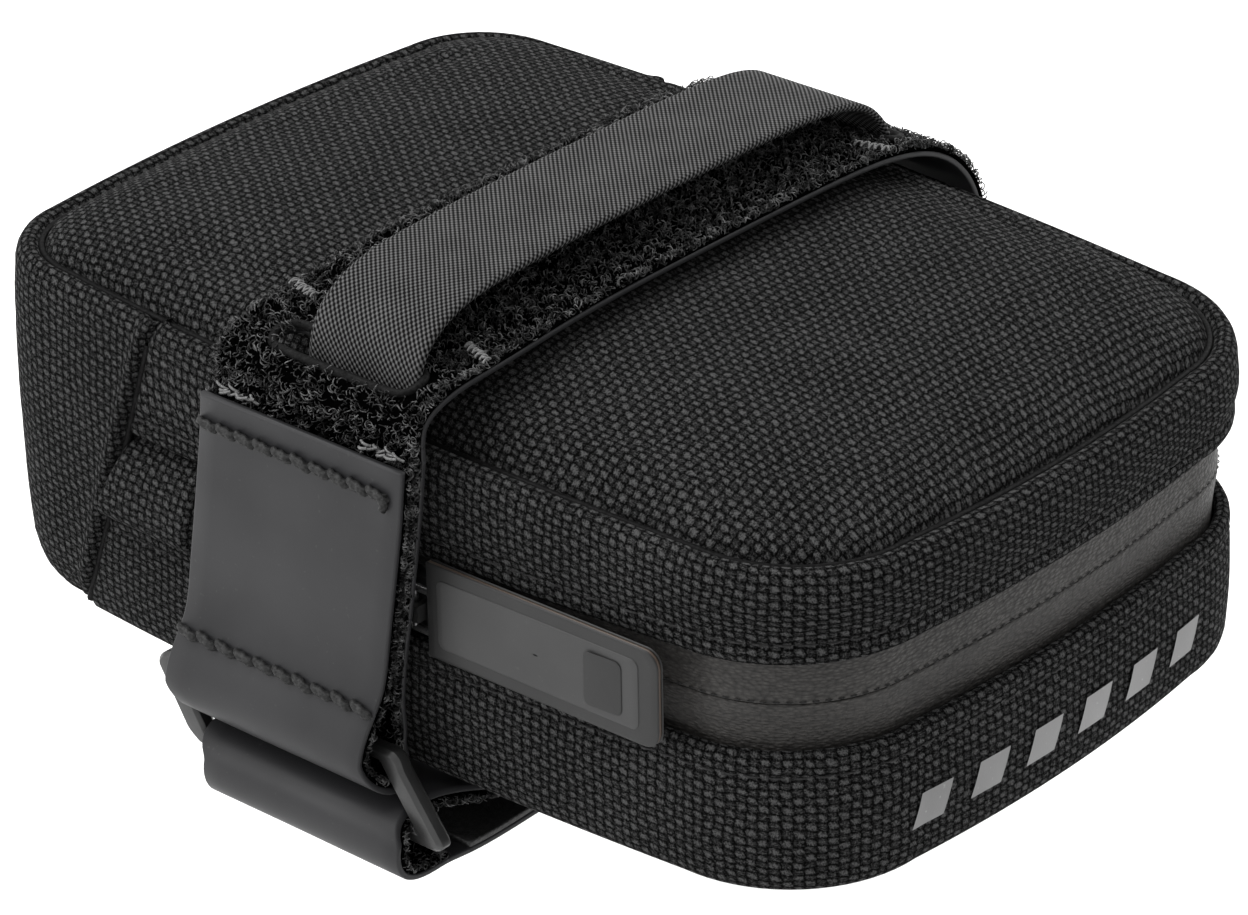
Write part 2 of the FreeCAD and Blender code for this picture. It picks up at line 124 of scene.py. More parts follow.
class Nodes:
    """A material's node tree, with short names for what the fabrics need."""

    def __init__(self, name, shine=0.5, **sockets):
        self.material = bpy.data.materials.new(name)
        self.material.use_nodes = True
        self.tree = self.material.node_tree
        self.shader = self.tree.nodes["Principled BSDF"]
        for key, value in dict(sockets, Specular_IOR_Level=shine).items():
            self.shader.inputs[key.replace("_", " ")].default_value = value

    def new(self, kind, inputs=(), **settings):
        node = self.tree.nodes.new(kind)
        for key, value in settings.items():
            setattr(node, key, value)
        for key, value in dict(inputs).items():
            socket = node.inputs[key]
            if isinstance(value, bpy.types.NodeSocket):
                self.tree.links.new(value, socket)
            else:
                socket.default_value = value
        return node

    def math(self, operation, *values):
        return self.new("ShaderNodeMath", enumerate(values), operation=operation).outputs[0]

    def add(self, a, b):
        return self.math("ADD", a, b)

    def mul(self, a, b):
        return self.math("MULTIPLY", a, b)

    def mad(self, a, b, c):
        """a times b plus c."""
        return self.math("MULTIPLY_ADD", a, b, c)

    def cloth(self):
        """The piece's own cloth coordinates, in millimetres."""
        return self.new("ShaderNodeUVMap", uv_map="cloth").outputs[0]

    def solid(self):
        return self.new("ShaderNodeTexCoord").outputs["Object"]

    def split(self, vector):
        node = self.new("ShaderNodeSeparateXYZ", {0: vector})
        return node.outputs[0], node.outputs[1]

    def join(self, x, y, z=0.0):
        return self.new("ShaderNodeCombineXYZ", {0: x, 1: y, 2: z}).outputs[0]

    def noise(self, vector, scale, detail=2.0, rough=0.5):
        inputs = {"Vector": vector, "Scale": scale, "Detail": detail, "Roughness": rough}
        return self.new("ShaderNodeTexNoise", inputs).outputs["Fac"]

    def range(self, value, low, high, to_low=0.0, to_high=1.0):
        inputs = {0: value, 1: low, 2: high, 3: to_low, 4: to_high}
        return self.new("ShaderNodeMapRange", inputs).outputs[0]

    def ramp(self, value, *stops):
        node = self.new("ShaderNodeValToRGB", {0: value})
        elements = node.color_ramp.elements
        while len(elements) < len(stops):
            elements.new(0.5)
        for element, (position, shade) in zip(elements, stops):
            element.position = position
            element.color = (*shade, 1.0)
        return node.outputs[0]

    def mix(self, factor, a, b):
        node = self.new("ShaderNodeMix", {0: factor}, data_type="RGBA")
        for index, value in ((6, a), (7, b)):
            if isinstance(value, bpy.types.NodeSocket):
                self.tree.links.new(value, node.inputs[index])
            else:
                node.inputs[index].default_value = (*value, 1.0)
        return node.outputs[2]

    def bump(self, height, distance):
        """Relief of distance millimetres for a height of one."""
        node = self.new("ShaderNodeBump", {"Height": height, "Distance": distance * MM, "Strength": 1.0})
        self.set("Normal", node.outputs[0])

    def set(self, socket, value):
        self.tree.links.new(value, self.shader.inputs[socket])

    def done(self, colour, rough, height, relief):
        self.set("Base Color", colour)
        self.set("Roughness", rough)
        self.bump(height, relief)
        return self.material


def grey(value, warm=0.0):
    return (value * (1 + warm), value, value * (1 - warm))


def woven(name, pitch, painted_light_tones, relief, low=0.7, slant=0.3, fuzzy=1.0, shine=0.5):
    """Plain weave of twisted yarns with short floats; one direction's floats stand a little higher."""
    n = Nodes(name, shine)
    uv = n.cloth()
    sway = n.new("ShaderNodeTexNoise", {"Vector": uv, "Scale": 0.16, "Detail": 5.0, "Roughness": 0.62})
    shift = n.new("ShaderNodeVectorMath", {0: sway.outputs["Color"], 1: (0.5, 0.5, 0.5)},
                  operation="SUBTRACT")
    moved = n.new("ShaderNodeVectorMath", {0: shift.outputs[0], 1: (1.7, 1.7, 0.0), 2: uv},
                  operation="MULTIPLY_ADD")
    u, v = n.split(moved.outputs[0])
    u = n.math("DIVIDE", u, pitch[0])
    v = n.math("DIVIDE", v, pitch[1])
    parity = n.math("MODULO", n.add(n.math("FLOOR", u), n.math("FLOOR", v)), 2.0)
    over = n.math("ABSOLUTE", parity)
    fu = n.mad(n.math("FRACT", u), 2.0, -1.0)
    fv = n.mad(n.math("FRACT", v), 2.0, -1.0)

    def pick(a, b):
        return n.mad(n.math("SUBTRACT", b, a), over, a)

    along = pick(fv, fu)
    across = n.mad(along, slant, pick(fu, fv))
    fall = n.math("MAXIMUM", n.mad(n.mul(across, across), -0.97, 1.0), 0.02)
    arch = n.mad(n.mul(along, along), -0.66, 1.0)
    height = n.mul(n.math("SQRT", fall), arch)
    height = n.mul(height, n.mad(over, low - 1.0, 1.0))
    twist = n.join(n.mad(v, pick(1.6, 5.0), n.mul(u, pick(6.5, 2.2))),
                   n.mul(v, pick(1.5, 4.0)))
    fibre = n.math("SUBTRACT", n.noise(twist, 1.0, 3.0, 0.65), 0.5)
    fuzz = n.math("SUBTRACT", n.noise(uv, 3.8, 3.0, 0.8), 0.5)
    full = n.mad(fibre, 1.3 * fuzzy, height)
    full = n.mad(fuzz, 2.6 * fuzzy, full)
    patch = n.noise(uv, 0.09, 3.0)
    # The colour follows the yarn relief: painted shade in the hollows between yarns and painted highlights on
    # the crowns of the floats, with slow random patches of tone on top.
    shade = n.add(full, n.mad(patch, 0.24, -0.12))
    return n.done(n.ramp(shade, *zip((0.16, 0.5, 0.8, 1.0), map(grey, painted_light_tones))),
                  n.range(full, 0.2, 1.0, 0.9, 0.62), full, relief)


def coated(name, scale, dark, light, relief, shine=0.5):
    """Fine pebbled coating, such as polyurethane over a zip tape."""
    n = Nodes(name, shine)
    uv = n.new("ShaderNodeVectorMath", {0: n.cloth(), 1: (1.0, 2.2, 1.0)}, operation="MULTIPLY").outputs[0]
    cells = n.new("ShaderNodeTexVoronoi", {"Vector": uv, "Scale": scale, "Randomness": 0.75},
                  feature="F1")
    crease = n.noise(uv, scale * 1.7, 3.0)
    drift = n.noise(uv, 0.12, 3.0)
    height = n.mad(crease, 0.5, n.math("SUBTRACT", 1.0, cells.outputs["Distance"]))
    # The colour follows the pebble relief: painted shade in the creases between pebbles and painted
    # highlights on their crowns, with a slow random drift in tone.
    shade = n.mad(drift, 0.35, n.mul(height, 0.6))
    return n.done(n.ramp(shade, (0.35, dark), (0.95, light)), n.range(height, 0.4, 1.4, 0.62, 0.42),
                  height, relief)


def smooth_coat(name, base, fleck, relief, rough=(0.42, 0.56), shine=0.5):
    """Matt moulded or laminated surface with a barely visible grain, specks and rubbed patches."""
    n = Nodes(name, shine)
    where = n.solid()
    grain = n.noise(where, 4200.0, 3.0, 0.6)
    speck = n.noise(where, 1500.0, 1.0)
    rub = n.noise(where, 60.0, 4.0)
    spots = n.range(speck, 0.72, 0.80)
    tone = n.ramp(rub, (0.3, [c * 0.86 for c in base]), (0.7, [c * 1.12 for c in base]))
    return n.done(n.mix(spots, tone, fleck), n.range(rub, 0.3, 0.7, rough[1], rough[0]),
                  grain, relief)


def twill(name, pitch, dark, light, relief, shine=0.5):
    """Tight twill webbing: fine diagonal ribs broken into single yarn floats."""
    n = Nodes(name, shine)
    uv = n.cloth()
    u, v = n.split(uv)
    rib = n.math("DIVIDE", n.add(u, v), pitch)
    step = n.math("DIVIDE", n.mad(v, -1.0, u), pitch * 1.15)
    wave = n.math("SINE", n.mul(rib, 2 * math.pi))
    broken = n.math("SINE", n.mul(step, 2 * math.pi))
    fibre = n.noise(uv, 5.0, 2.0)
    height = n.mad(broken, 0.32, n.mul(wave, 0.5))
    height = n.add(n.mad(height, 0.5, 0.4), n.mul(fibre, 0.22))
    rub = n.noise(uv, 0.2, 3.0)
    # The colour follows the rib relief: painted shade in the grooves and painted highlights on the yarn
    # floats, with rubbed patches of random tone.
    shade = n.add(height, n.mad(rub, 0.2, -0.1))
    return n.done(n.ramp(shade, (0.36, dark), (0.98, light)), n.range(height, 0.1, 1.0, 0.75, 0.45),
                  height, relief)


def fibrous(name, dark, light, scale, relief, reach=(0.3, 0.75), shine=0.5):
    """Thread, pile or foam: short noise in the object's own space."""
    n = Nodes(name, shine)
    where = n.solid()
    tone = n.noise(where, scale, 3.0, 0.65)
    return n.done(n.ramp(tone, (reach[0], dark), (reach[1], light)), n.range(tone, 0.2, 0.8, 0.72, 0.42),
                  tone, relief)


def metal(name, shade, rough):
    n = Nodes(name, Metallic=0.85)
    where = n.solid()
    blast = n.noise(where, 3000.0, 3.0, 0.7)
    wear = n.noise(where, 140.0, 4.0)
    return n.done(n.ramp(wear, (0.3, grey(shade * 0.8)), (0.75, grey(shade * 1.3))),
                  n.range(blast, 0.3, 0.7, rough - 0.06, rough + 0.1), blast, 0.012)


SURFACES = {
    "weave": woven("fabric_weave", (1.21, 0.92), (0.002, 0.018, 0.058, 0.115), 0.34, shine=0.02),
    "lining": woven("lining_cloth", (0.30, 0.30), (0.012, 0.03, 0.05, 0.06), 0.05, slant=0.0, fuzzy=0.4,
                    shine=0.2),
    "coated_tape": coated("zip_tape_coat", 1.3, grey(0.008, 0.07), grey(0.038, 0.07), 0.16, shine=0.3),
    "webbing": twill("webbing_twill", 0.68, grey(0.001), grey(0.12), 0.14, shine=0.05),
    "strap_backing": smooth_coat("strap_laminate", (0.018, 0.018, 0.0192), grey(0.029), 0.008, shine=0.2),
    "pile": fibrous("loop_pile", grey(0.0003), grey(0.0011), 2600.0, 0.05, shine=0.0),
    # The pile curls are black thread with sparse light spots scattered at random, which are painted glints.
    "curl": fibrous("pile_thread_painted_glints", grey(0.0008), grey(0.14), 800.0, 0.02, (0.46, 0.70),
                    shine=0.25),
    "hooks": fibrous("hook_face", grey(0.004), grey(0.02), 1400.0, 0.25),
    "foam": fibrous("foam_core", grey(0.02), grey(0.05), 1100.0, 0.15),
    "binding": fibrous("seam_binding", grey(0.0015), grey(0.010), 2200.0, 0.06, shine=0.05),
    "coil": fibrous("zip_coil", grey(0.005), grey(0.02), 900.0, 0.05),
    "thread_black": fibrous("thread_dark", grey(0.002), grey(0.030), 3800.0, 0.04, shine=0.2),
    "thread_grey": fibrous("thread_pale", grey(0.03), grey(0.17), 3800.0, 0.04),
    "ring_metal": metal("ring_finish", 0.058, 0.38),
    "slider_metal": metal("slider_finish", 0.06, 0.34),
    "link": metal("link_wire", 0.12, 0.3),
    "tab": smooth_coat("tab_laminate", grey(0.013), grey(0.02), 0.008, (0.40, 0.52), shine=0.3),
    "tab_panel": smooth_coat("tab_face", grey(0.032), grey(0.042), 0.006, (0.46, 0.55), shine=0.3),
    "print": smooth_coat("reflective_ink", grey(0.15), grey(0.24), 0.02, (0.38, 0.5)),
    "tab_core": smooth_coat("tab_core", (0.045, 0.028, 0.018), grey(0.06), 0.01),
}


# ---------------------------------------------------------------- mesh helpers

def finish_piece(name, points, faces, corner_uv, surface):
    mesh = bpy.data.meshes.new(name)
    mesh.from_pydata([tuple(p) for p in place(points)], [], [tuple(int(i) for i in f) for f in faces])
    if corner_uv is not None:
        layer = mesh.uv_layers.new(name="cloth")
        layer.data.foreach_set("uv", np.asarray(corner_uv, np.float32).ravel())
    mesh.shade_smooth()
    mesh.materials.append(SURFACES[surface])
    piece = bpy.data.objects.new(name, mesh)
    bpy.context.collection.objects.link(piece)
    return piece


def grid(name, points, uv, surface, wrap=False, caps=False):
    """Quads over rows and columns of points. With wrap the columns close, and uv has one more."""
    rows, columns = points.shape[:2]
    spans = columns if wrap else columns - 1
    r, c = np.meshgrid(np.arange(rows - 1), np.arange(spans), indexing="ij")
    after = (c + 1) % columns
    faces = columns_of(r * columns + c, r * columns + after, (r + 1) * columns + after,
                      (r + 1) * columns + c).reshape(-1, 4).tolist()
    corners = np.stack([uv[r, c], uv[r, c + 1], uv[r + 1, c + 1], uv[r + 1, c]], -2).reshape(-1, 2)
    if caps:
        first = list(range(columns))[::-1]
        last = [(rows - 1) * columns + i for i in range(columns)]
        faces += [first, last]
        flat = points[0][:, [0, 2]]
        corners = np.vstack([corners, flat[::-1], flat])
    return finish_piece(name, points.reshape(-1, 3), faces, corners, surface)


def bake(piece):
    """Applies the piece's modifiers."""
    shown = piece.evaluated_get(bpy.context.evaluated_depsgraph_get())
    made = bpy.data.meshes.new_from_object(shown)
    piece.modifiers.clear()
    piece.data = made


def quarter(x, y, radius, start, step=15):
    """Points of a quarter circle, from the angle start."""
    angle = np.radians(start + np.arange(0, 91, step))
    return columns_of(x + radius * np.cos(angle), y + radius * np.sin(angle))


def rough_noise(a, b, size, seed):
    """Smooth seeded unevenness, about -1 to 1, from a few crossed waves."""
    turn = np.random.default_rng(seed)
    total = np.zeros(np.broadcast(a, b).shape)
    for _ in range(7):
        angle, phase = turn.uniform(0, 2 * math.pi, 2)
        wave = size * turn.uniform(0.6, 1.7)
        total = total + np.sin((a * math.cos(angle) + b * math.sin(angle)) * 2 * math.pi / wave + phase)
    return total / 4


# ---------------------------------------------------------------- outline of the bag

def bowed(start, middle, end, count):
    """Points of the circular arc through three points, without its last."""
    (ax, ay), (bx, by), (cx, cy) = start, middle, end
    d = 2 * (ax * (by - cy) + bx * (cy - ay) + cx * (ay - by))
    a2, b2, c2 = ax * ax + ay * ay, bx * bx + by * by, cx * cx + cy * cy
    ux = (a2 * (by - cy) + b2 * (cy - ay) + c2 * (ay - by)) / d
    uy = (a2 * (cx - bx) + b2 * (ax - cx) + c2 * (bx - ax)) / d
    radius = math.hypot(ax - ux, ay - uy)
    first = math.atan2(ay - uy, ax - ux)
    sweep = (math.atan2(cy - uy, cx - ux) - first) % (2 * math.pi)
    angles = first + sweep * np.arange(count) / count
    return columns_of(ux + radius * np.cos(angles), uy + radius * np.sin(angles))


def outline():
    """Dense closed outline, anticlockwise from the middle of the spine end."""
    hx, hy = LENGTH / 2 - END_BOW, WIDTH / 2 - SIDE_BOW
    middle_x = (SPINE_RADIUS - TAIL_RADIUS) / 2
    bows = ((-LENGTH / 2, 0), (middle_x, -WIDTH / 2), (LENGTH / 2, 0), (middle_x, WIDTH / 2))
    corners = ((-hx, -hy, SPINE_RADIUS, 180), (hx, -hy, TAIL_RADIUS, 270), (hx, hy, TAIL_RADIUS, 0),
               (-hx, hy, SPINE_RADIUS, 90))
    arcs = [quarter(x - math.copysign(radius, x), y - math.copysign(radius, y), radius, start, 3)
            for x, y, radius, start in corners]
    parts = []
    for index, arc in enumerate(arcs):
        after = (index + 1) % 4
        parts += [arc[:-1], bowed(arc[-1], bows[after], arcs[after][0], 60)]
    return np.roll(np.vstack(parts), 30, axis=0)


LOOP = outline()
CLOSED = np.vstack([LOOP, LOOP[:1]])
ARC = distances(CLOSED)
ROUND = ARC[-1]


def along(s):
    """Point and outward normal at distance s round the outline."""
    s = np.asarray(s, float) % ROUND
    reach = 0.8
    before, spot, after = (np.stack([np.interp(t % ROUND, ARC, CLOSED[:, i]) for i in (0, 1)], -1)
                           for t in (s - reach, s, s + reach))
    step = after - before
    step /= np.linalg.norm(step, axis=-1, keepdims=True)
    return spot, columns_of(step[..., 1], -step[..., 0])


def side_s(side, x):
    """Distance round the outline where the near side (-1) or the far side (1) reaches x."""
    half = side * CLOSED[:, 1] > 0
    order = np.argsort(CLOSED[half, 0])
    return np.interp(x, CLOSED[half, 0][order], ARC[half][order])


def near_s(x):
    return side_s(-1, x)


def far_s(x):
    return side_s(1, x)


def seam_x(z):
    """The curved spine seam, as X for a height."""
    x, heights = zip(*SPINE_SEAM)
    return np.polyval(np.polyfit(heights, x, 2), z)


def seam_z(x):
    return SEAM_Z + TOP_SLOPE * x


def zip_z(x, side=0.0):
    return ZIP_Z + side * ZIP_HALF + ZIP_SLOPE * x


# ---------------------------------------------------------------- sewn panels

HEM_IN = ((-1.75, 1.0), (-1.65, 0.2), (-1.3, -0.22), (-0.75, -0.32), (-0.25, -0.06), (0.05, 0.5),
          (0.14, 1.2), (0.06, 1.9), (-0.1, 2.4), (0.06, 2.9), (0.2, 3.6))
ROLL = ((0.22, -3.2), (0.12, -2.0), (-0.15, -1.0), (-0.6, -0.3), (-1.25, 0.05), (-1.9, -0.05),
        (-2.45, -0.5), (-2.85, -1.2), (-3.05, -2.2))
SEAM_X_AT = -38.0
MID_Z = 20.0


def columns(start, end, crowd=(0, 0.2, 0.45, 0.8, 1.25, 1.9, 2.7), step=1.5):
    """Distances along a panel's edge, closer together at its two seams."""
    span = end - start
    middle = np.linspace(crowd[-1], span - crowd[-1], int((span - 2 * crowd[-1]) / step) + 2)[1:-1]
    return np.concatenate([crowd, middle, span - np.array(crowd[::-1])]) / span


def panel(name, rows, start_of, end_of, surface, edge, bulge, seed, lip=0.0):
    """Upright panel from rows of (offset, height function, swell), between two ends that shift with height.
    At its ends it sinks by -edge into the seam, or with a lip it first stands proud and rolls in."""
    spread = columns(start_of(MID_Z), end_of(MID_Z))
    points, uv, climb, previous = [], [], 0.0, None
    for offset, height, swell in rows:
        at_seam = float(height(SEAM_X_AT))
        start, end = start_of(at_seam), end_of(at_seam)
        s = start + spread * (end - start)
        spot, normal = along(s)
        z = height(spot[:, 0])
        away = np.minimum(s - start, end - s)
        fold = edge * np.exp(-((away / 0.5) ** 2)) * (0.4 + 0.6 * swell)
        fold = fold + lip * (np.exp(-(((away - 1.2) / 0.9) ** 2)) - 2.6 * np.exp(-((away / 0.3) ** 2)))
        depth = np.concatenate([[0], np.cumsum(np.abs(np.diff(fold)))])
        out = offset + fold + swell * (bulge + 0.12 * rough_noise(s, z * 1.4, 16.0, seed))
        ring = columns_of(spot[:, 0] + normal[:, 0] * out, spot[:, 1] + normal[:, 1] * out, z)
        if previous is not None:
            climb += float(np.median(np.linalg.norm(ring - previous, axis=1)))
        previous = ring
        points.append(ring)
        uv.append(columns_of(s + depth - depth[len(s) // 2], climb))
    return grid(name, np.array(points), np.array(uv), surface)


def level(z):
    return lambda x: np.full(np.shape(x), float(z))


def zip_edge(side, rise):
    return lambda x: zip_z(x, side) + side * rise


def top_edge(rise):
    return lambda x: seam_z(x) + rise


def between(low, high, share):
    return lambda x: low(x) + (high(x) - low(x)) * share


def middle_rows(low, high, out, shares=(0.12, 0.25, 0.4, 0.55, 0.7, 0.85)):
    return [(out, between(low, high, share), math.sin(math.pi * share)) for share in shares]


def seam_start(z):
    return near_s(seam_x(z))


def seam_end(z):
    return far_s(seam_x(z))


upper_rows = [(out, zip_edge(1, rise), 0.0) for out, rise in HEM_IN]
upper_rows += middle_rows(zip_edge(1, 3.6), top_edge(-3.2), 0.21)
upper_rows += [(out, top_edge(rise), 0.0) for out, rise in ROLL]
panel("upper_gusset_panel", upper_rows, seam_start, seam_end, "weave", -1.25, 0.2, 3)

foot_rows = [(out, level(-rise), 0.0) for out, rise in ROLL[::-1]]
lower_rows = foot_rows + middle_rows(level(3.2), zip_edge(-1, 3.6), 0.21)
lower_rows += [(out, zip_edge(-1, rise), 0.0) for out, rise in HEM_IN[::-1]]
panel("lower_gusset_panel", lower_rows, seam_start, seam_end, "weave", -1.25, 0.2, 5)


def round_start(z):
    """The far end of the spine panel, which wraps the outline's zero."""
    return seam_end(z) - ROUND


spine_rows = [(-3.4, level(1.3), 0.0), (-2.6, level(0.7), 0.0), (-1.8, level(0.75), 0.0),
              (-1.1, level(1.25), 0.0), (-0.55, level(2.2), 0.0), (-0.12, level(3.6), 0.1)]
spine_rows += middle_rows(level(3.6), top_edge(-3.2), 0.3,
                          (0.06, 0.12, 0.2, 0.3, 0.4, 0.5, 0.6, 0.7, 0.8, 0.88, 0.94))
spine_rows += [(out, top_edge(rise), 0.0) for out, rise in ROLL]
panel("spine_end_panel", spine_rows, round_start, seam_start, "weave", 0.0, 0.6, 7, 0.62)
rim_rows = [(out - 1.2, height, swell) for out, height, swell in foot_rows[:-3]]
panel("spine_end_rim", rim_rows, lambda z: round_start(0.5) - 0.3, lambda z: seam_start(0.5) + 0.3,
      "weave", 0.0, 0.0, 9)


def garage(name, start_of, end_of, seed):
    """Fabric over the zip's end: a pillow that is fullest low down and overhangs the lower gusset."""
    shape = ((-1.9, 2.0), (-1.2, 1.1), (-0.1, 0.6), (1.2, 0.4), (2.3, 0.75), (3.0, 1.7), (3.1, 3.1),
             (2.7, 4.8), (2.0, 6.6), (1.2, 8.2), (0.3, 9.4), (-0.7, 10.2), (-1.7, 10.6))
    rows = [(out, zip_edge(-1, -rise), 0.3 if 1 < rise < 9 else 0.0) for out, rise in shape]
    panel(name, rows, start_of, end_of, "weave", -1.9, 0.2, seed)


garage("zip_end_near", seam_start, lambda z: near_s(GARAGE_X), 11)
garage("zip_end_far", lambda z: far_s(GARAGE_X), seam_end, 12)


def tape(name, side):
    """One half of the coated zip tape: under the hem, across the recess and over the coil's ridge."""
    drops = ((-2.05, -1.8), (-2.0, 0.4), (-1.93, 1.6), (-1.82, 2.8), (-1.66, 3.9), (-1.56, 4.8),
             (-1.54, 5.25), (-1.57, 5.46), (-1.66, 5.56), (-2.2, 5.56))
    rows = [(out, zip_edge(side, -drop), 0.15) for out, drop in drops]
    panel(name, rows, lambda z: near_s(GARAGE_X - 3), lambda z: far_s(GARAGE_X - 3),
          "coated_tape", 0.0, 0.0, 14)


tape("upper_zip_half", 1)
tape("lower_zip_half", -1)

# Square grid spread over the rounded outline, so that its rows follow the cloth's yarns
CORNER_S = [ARC[int(np.argmax(LOOP[:, 0] * a + LOOP[:, 1] * b))] for a, b in
            ((-1, -1), (1, -1), (1, 1), (-1, 1))]


def spread_grid(inset, across, deep):
    """Points of a grid whose edge is the outline moved inwards, with each point's share of the way out."""
    lines = []
    for count in (across, deep):
        w = np.linspace(-1, 1, count)
        lines.append(np.sign(w) * (1 - (1 - np.abs(w)) ** 1.5))
    a, b = np.meshgrid(*lines, indexing="ij")
    share = np.maximum(np.abs(a), np.abs(b))
    safe = np.where(share == 0, 1, share)
    ea, eb = a / safe, b / safe
    s0, s1, s2, s3 = CORNER_S
    on_edge = 1 - 1e-9
    s = s3 + (s0 + ROUND - s3) * (1 - eb) / 2
    s = np.where(eb >= on_edge, s2 + (s3 - s2) * (1 - ea) / 2, s)
    s = np.where(ea >= on_edge, s1 + (s2 - s1) * (eb + 1) / 2, s)
    s = np.where(eb <= -on_edge, s0 + (s1 - s0) * (ea + 1) / 2, s)
    spot, normal = along(s)
    return spot - normal * inset, share


def crowned(name, base, rise, tilt, surface, inset=SEAM_INSET + 0.05, tuck=2.0):
    """Crowned panel; its cloth coordinates are distances over the crown and down into the seam."""
    def lift(out):
        return rise * (1 - out ** 5) - math.copysign(tuck, rise) * np.exp(-(1 - out) / 0.007)

    edge, share = spread_grid(inset, 73, 53)
    flat = edge * share[..., None]
    points = np.concatenate([flat, (base + lift(share) + tilt * flat[..., 0])[..., None]], -1)
    radius = np.linalg.norm(edge, axis=-1, keepdims=True)
    steps = np.linspace(0, 1, 500)
    over = np.hypot(radius * steps[1], np.diff(lift(steps))).cumsum(-1)
    walked = np.take_along_axis(over, np.clip(share * 499 - 1, 0, 498).astype(int)[..., None], -1)
    cloth = edge / radius * np.where(share[..., None] > 0.01, walked, 0)
    return grid(name, points, cloth, surface), share.ravel()


SEWN_SHARE = 0.955
CLOTH_FRAMES = 20


def puffed(piece, share, pressure, cap):
    """Blows the panel out between its sewn edges with a short cloth simulation, and keeps the result.
    No point moves by more than the cap, in millimetres."""
    mesh = piece.data
    before = np.empty(len(mesh.vertices) * 3)
    mesh.vertices.foreach_get("co", before)
    before = before.reshape(-1, 3)
    pins = piece.vertex_groups.new(name="sewn")
    pins.add(np.flatnonzero(share > SEWN_SHARE).tolist(), 1.0, "REPLACE")
    cloth = piece.modifiers.new("Cloth", "CLOTH")
    settings = cloth.settings
    settings.vertex_group_mass = "sewn"
    settings.quality = 6
    settings.mass = 0.2
    settings.tension_stiffness = settings.compression_stiffness = 12
    settings.bending_stiffness = 3
    settings.use_pressure = True
    settings.uniform_pressure_force = pressure
    settings.effector_weights.gravity = 0
    cloth.point_cache.frame_end = CLOTH_FRAMES
    scene = bpy.context.scene
    for step in range(CLOTH_FRAMES):
        scene.frame_set(step + 1)
    after = np.empty_like(before)
    shown = piece.evaluated_get(bpy.context.evaluated_depsgraph_get())
    flat = after.reshape(-1)
    shown.data.vertices.foreach_get("co", flat)
    piece.modifiers.remove(cloth)
    piece.vertex_groups.remove(pins)
    scene.frame_set(1)
    move = flat.reshape(-1, 3) - before
    size = np.linalg.norm(move, axis=1, keepdims=True)
    capped = move * (cap * MM * np.tanh(size / (cap * MM)) / np.maximum(size, 1e-12))
    mesh.vertices.foreach_set("co", (before + capped).ravel())
    mesh.update()


top_panel, top_share = crowned("top_crown_panel", SEAM_Z, TOP_CROWN, TOP_SLOPE, "weave")
bottom_panel, bottom_share = crowned("bottom_crown_panel", 0.0, -BOTTOM_CROWN, 0.0, "weave")
puffed(top_panel, top_share, 4.0, 0.8)
puffed(bottom_panel, bottom_share, -4.0, 0.6)


def lining_bowl(name, foot, roof, rise, tilt, seed):
    """Thin inner lining: an upright wall and a crowned floor or roof, with soft wrinkles."""
    s = np.linspace(0, ROUND, 200)
    spot, normal = along(s)
    rows, uv = [], []
    stations = [(1.0, foot + (roof - foot) * t) for t in (0, 0.25, 0.5, 0.75, 1.0)]
    stations += [(scale, roof + rise * (1 - scale ** 5))
                 for scale in (0.97, 0.92, 0.84, 0.7, 0.5, 0.25, 0.02)]
    for scale, z in stations:
        wrinkle = 0.22 * rough_noise(s, z * 2, 24.0, seed) * (scale > 0.3)
        ring = (spot - normal * (5.3 + wrinkle[:, None])) * scale
        rows.append(columns_of(ring[:, 0], ring[:, 1], z + tilt * ring[:, 0] * (rise > 0)))
        uv.append(columns_of(s * scale, z + (1 - scale) * 40))
    grid(name, np.array(rows), np.array(uv), "lining")


# Soft boards behind the lower fabric
board_rows = [(-1.9, between(level(1.5), zip_edge(-1, 1.5), share), 0.0)
              for share in np.linspace(0, 1, 7)]
panel("lower_gusset_board", board_rows, seam_start, seam_end, "foam", 0.0, 0.0, 15)
crowned("bottom_foam_sheet", 1.9, -BOTTOM_CROWN + 0.2, 0.0, "foam", inset=5.2, tuck=0.0)

lining_bowl("upper_lining_cloth", ZIP_Z + 3, 34.5, 7.0, TOP_SLOPE, 21)
lining_bowl("lower_lining_cloth", ZIP_Z - 3, 6.5, -4.0, 0.0, 22)


# ---------------------------------------------------------------- strap

class Route:
    """Smooth line in Y and Z through its points, with its length and its left-hand side."""

    def __init__(self, stops):
        p = np.array(stops, float)
        knots = distances(p)
        h = np.diff(knots)
        size = len(p)
        system, right = np.eye(size), np.zeros((size, 2))
        for i in range(1, size - 1):
            system[i, i - 1:i + 2] = h[i - 1], 2 * (h[i - 1] + h[i]), h[i]
            right[i] = 6 * ((p[i + 1] - p[i]) / h[i] - (p[i] - p[i - 1]) / h[i - 1])
        bend = np.linalg.solve(system, right)
        spans = []
        for i in range(size - 1):
            t = (np.arange(24) / 24 * h[i])[:, None]
            r = h[i] - t
            spans.append((bend[i] * r ** 3 + bend[i + 1] * t ** 3) / (6 * h[i])
                         + (p[i] / h[i] - bend[i] * h[i] / 6) * r
                         + (p[i + 1] / h[i] - bend[i + 1] * h[i] / 6) * t)
        self.line = np.vstack(spans + [p[-1:]])
        self.s = distances(self.line)
        run = np.gradient(self.line, self.s, axis=0)
        self.run = run / np.linalg.norm(run, axis=1, keepdims=True)
        self.side = columns_of(-self.run[:, 1], self.run[:, 0])
        self.stops = self.s[::24]

    def at(self, s):
        s = np.asarray(s, float)
        return [np.stack([np.interp(s, self.s, table[:, i]) for i in (0, 1)], -1)
                for table in (self.line, self.side, self.run)]


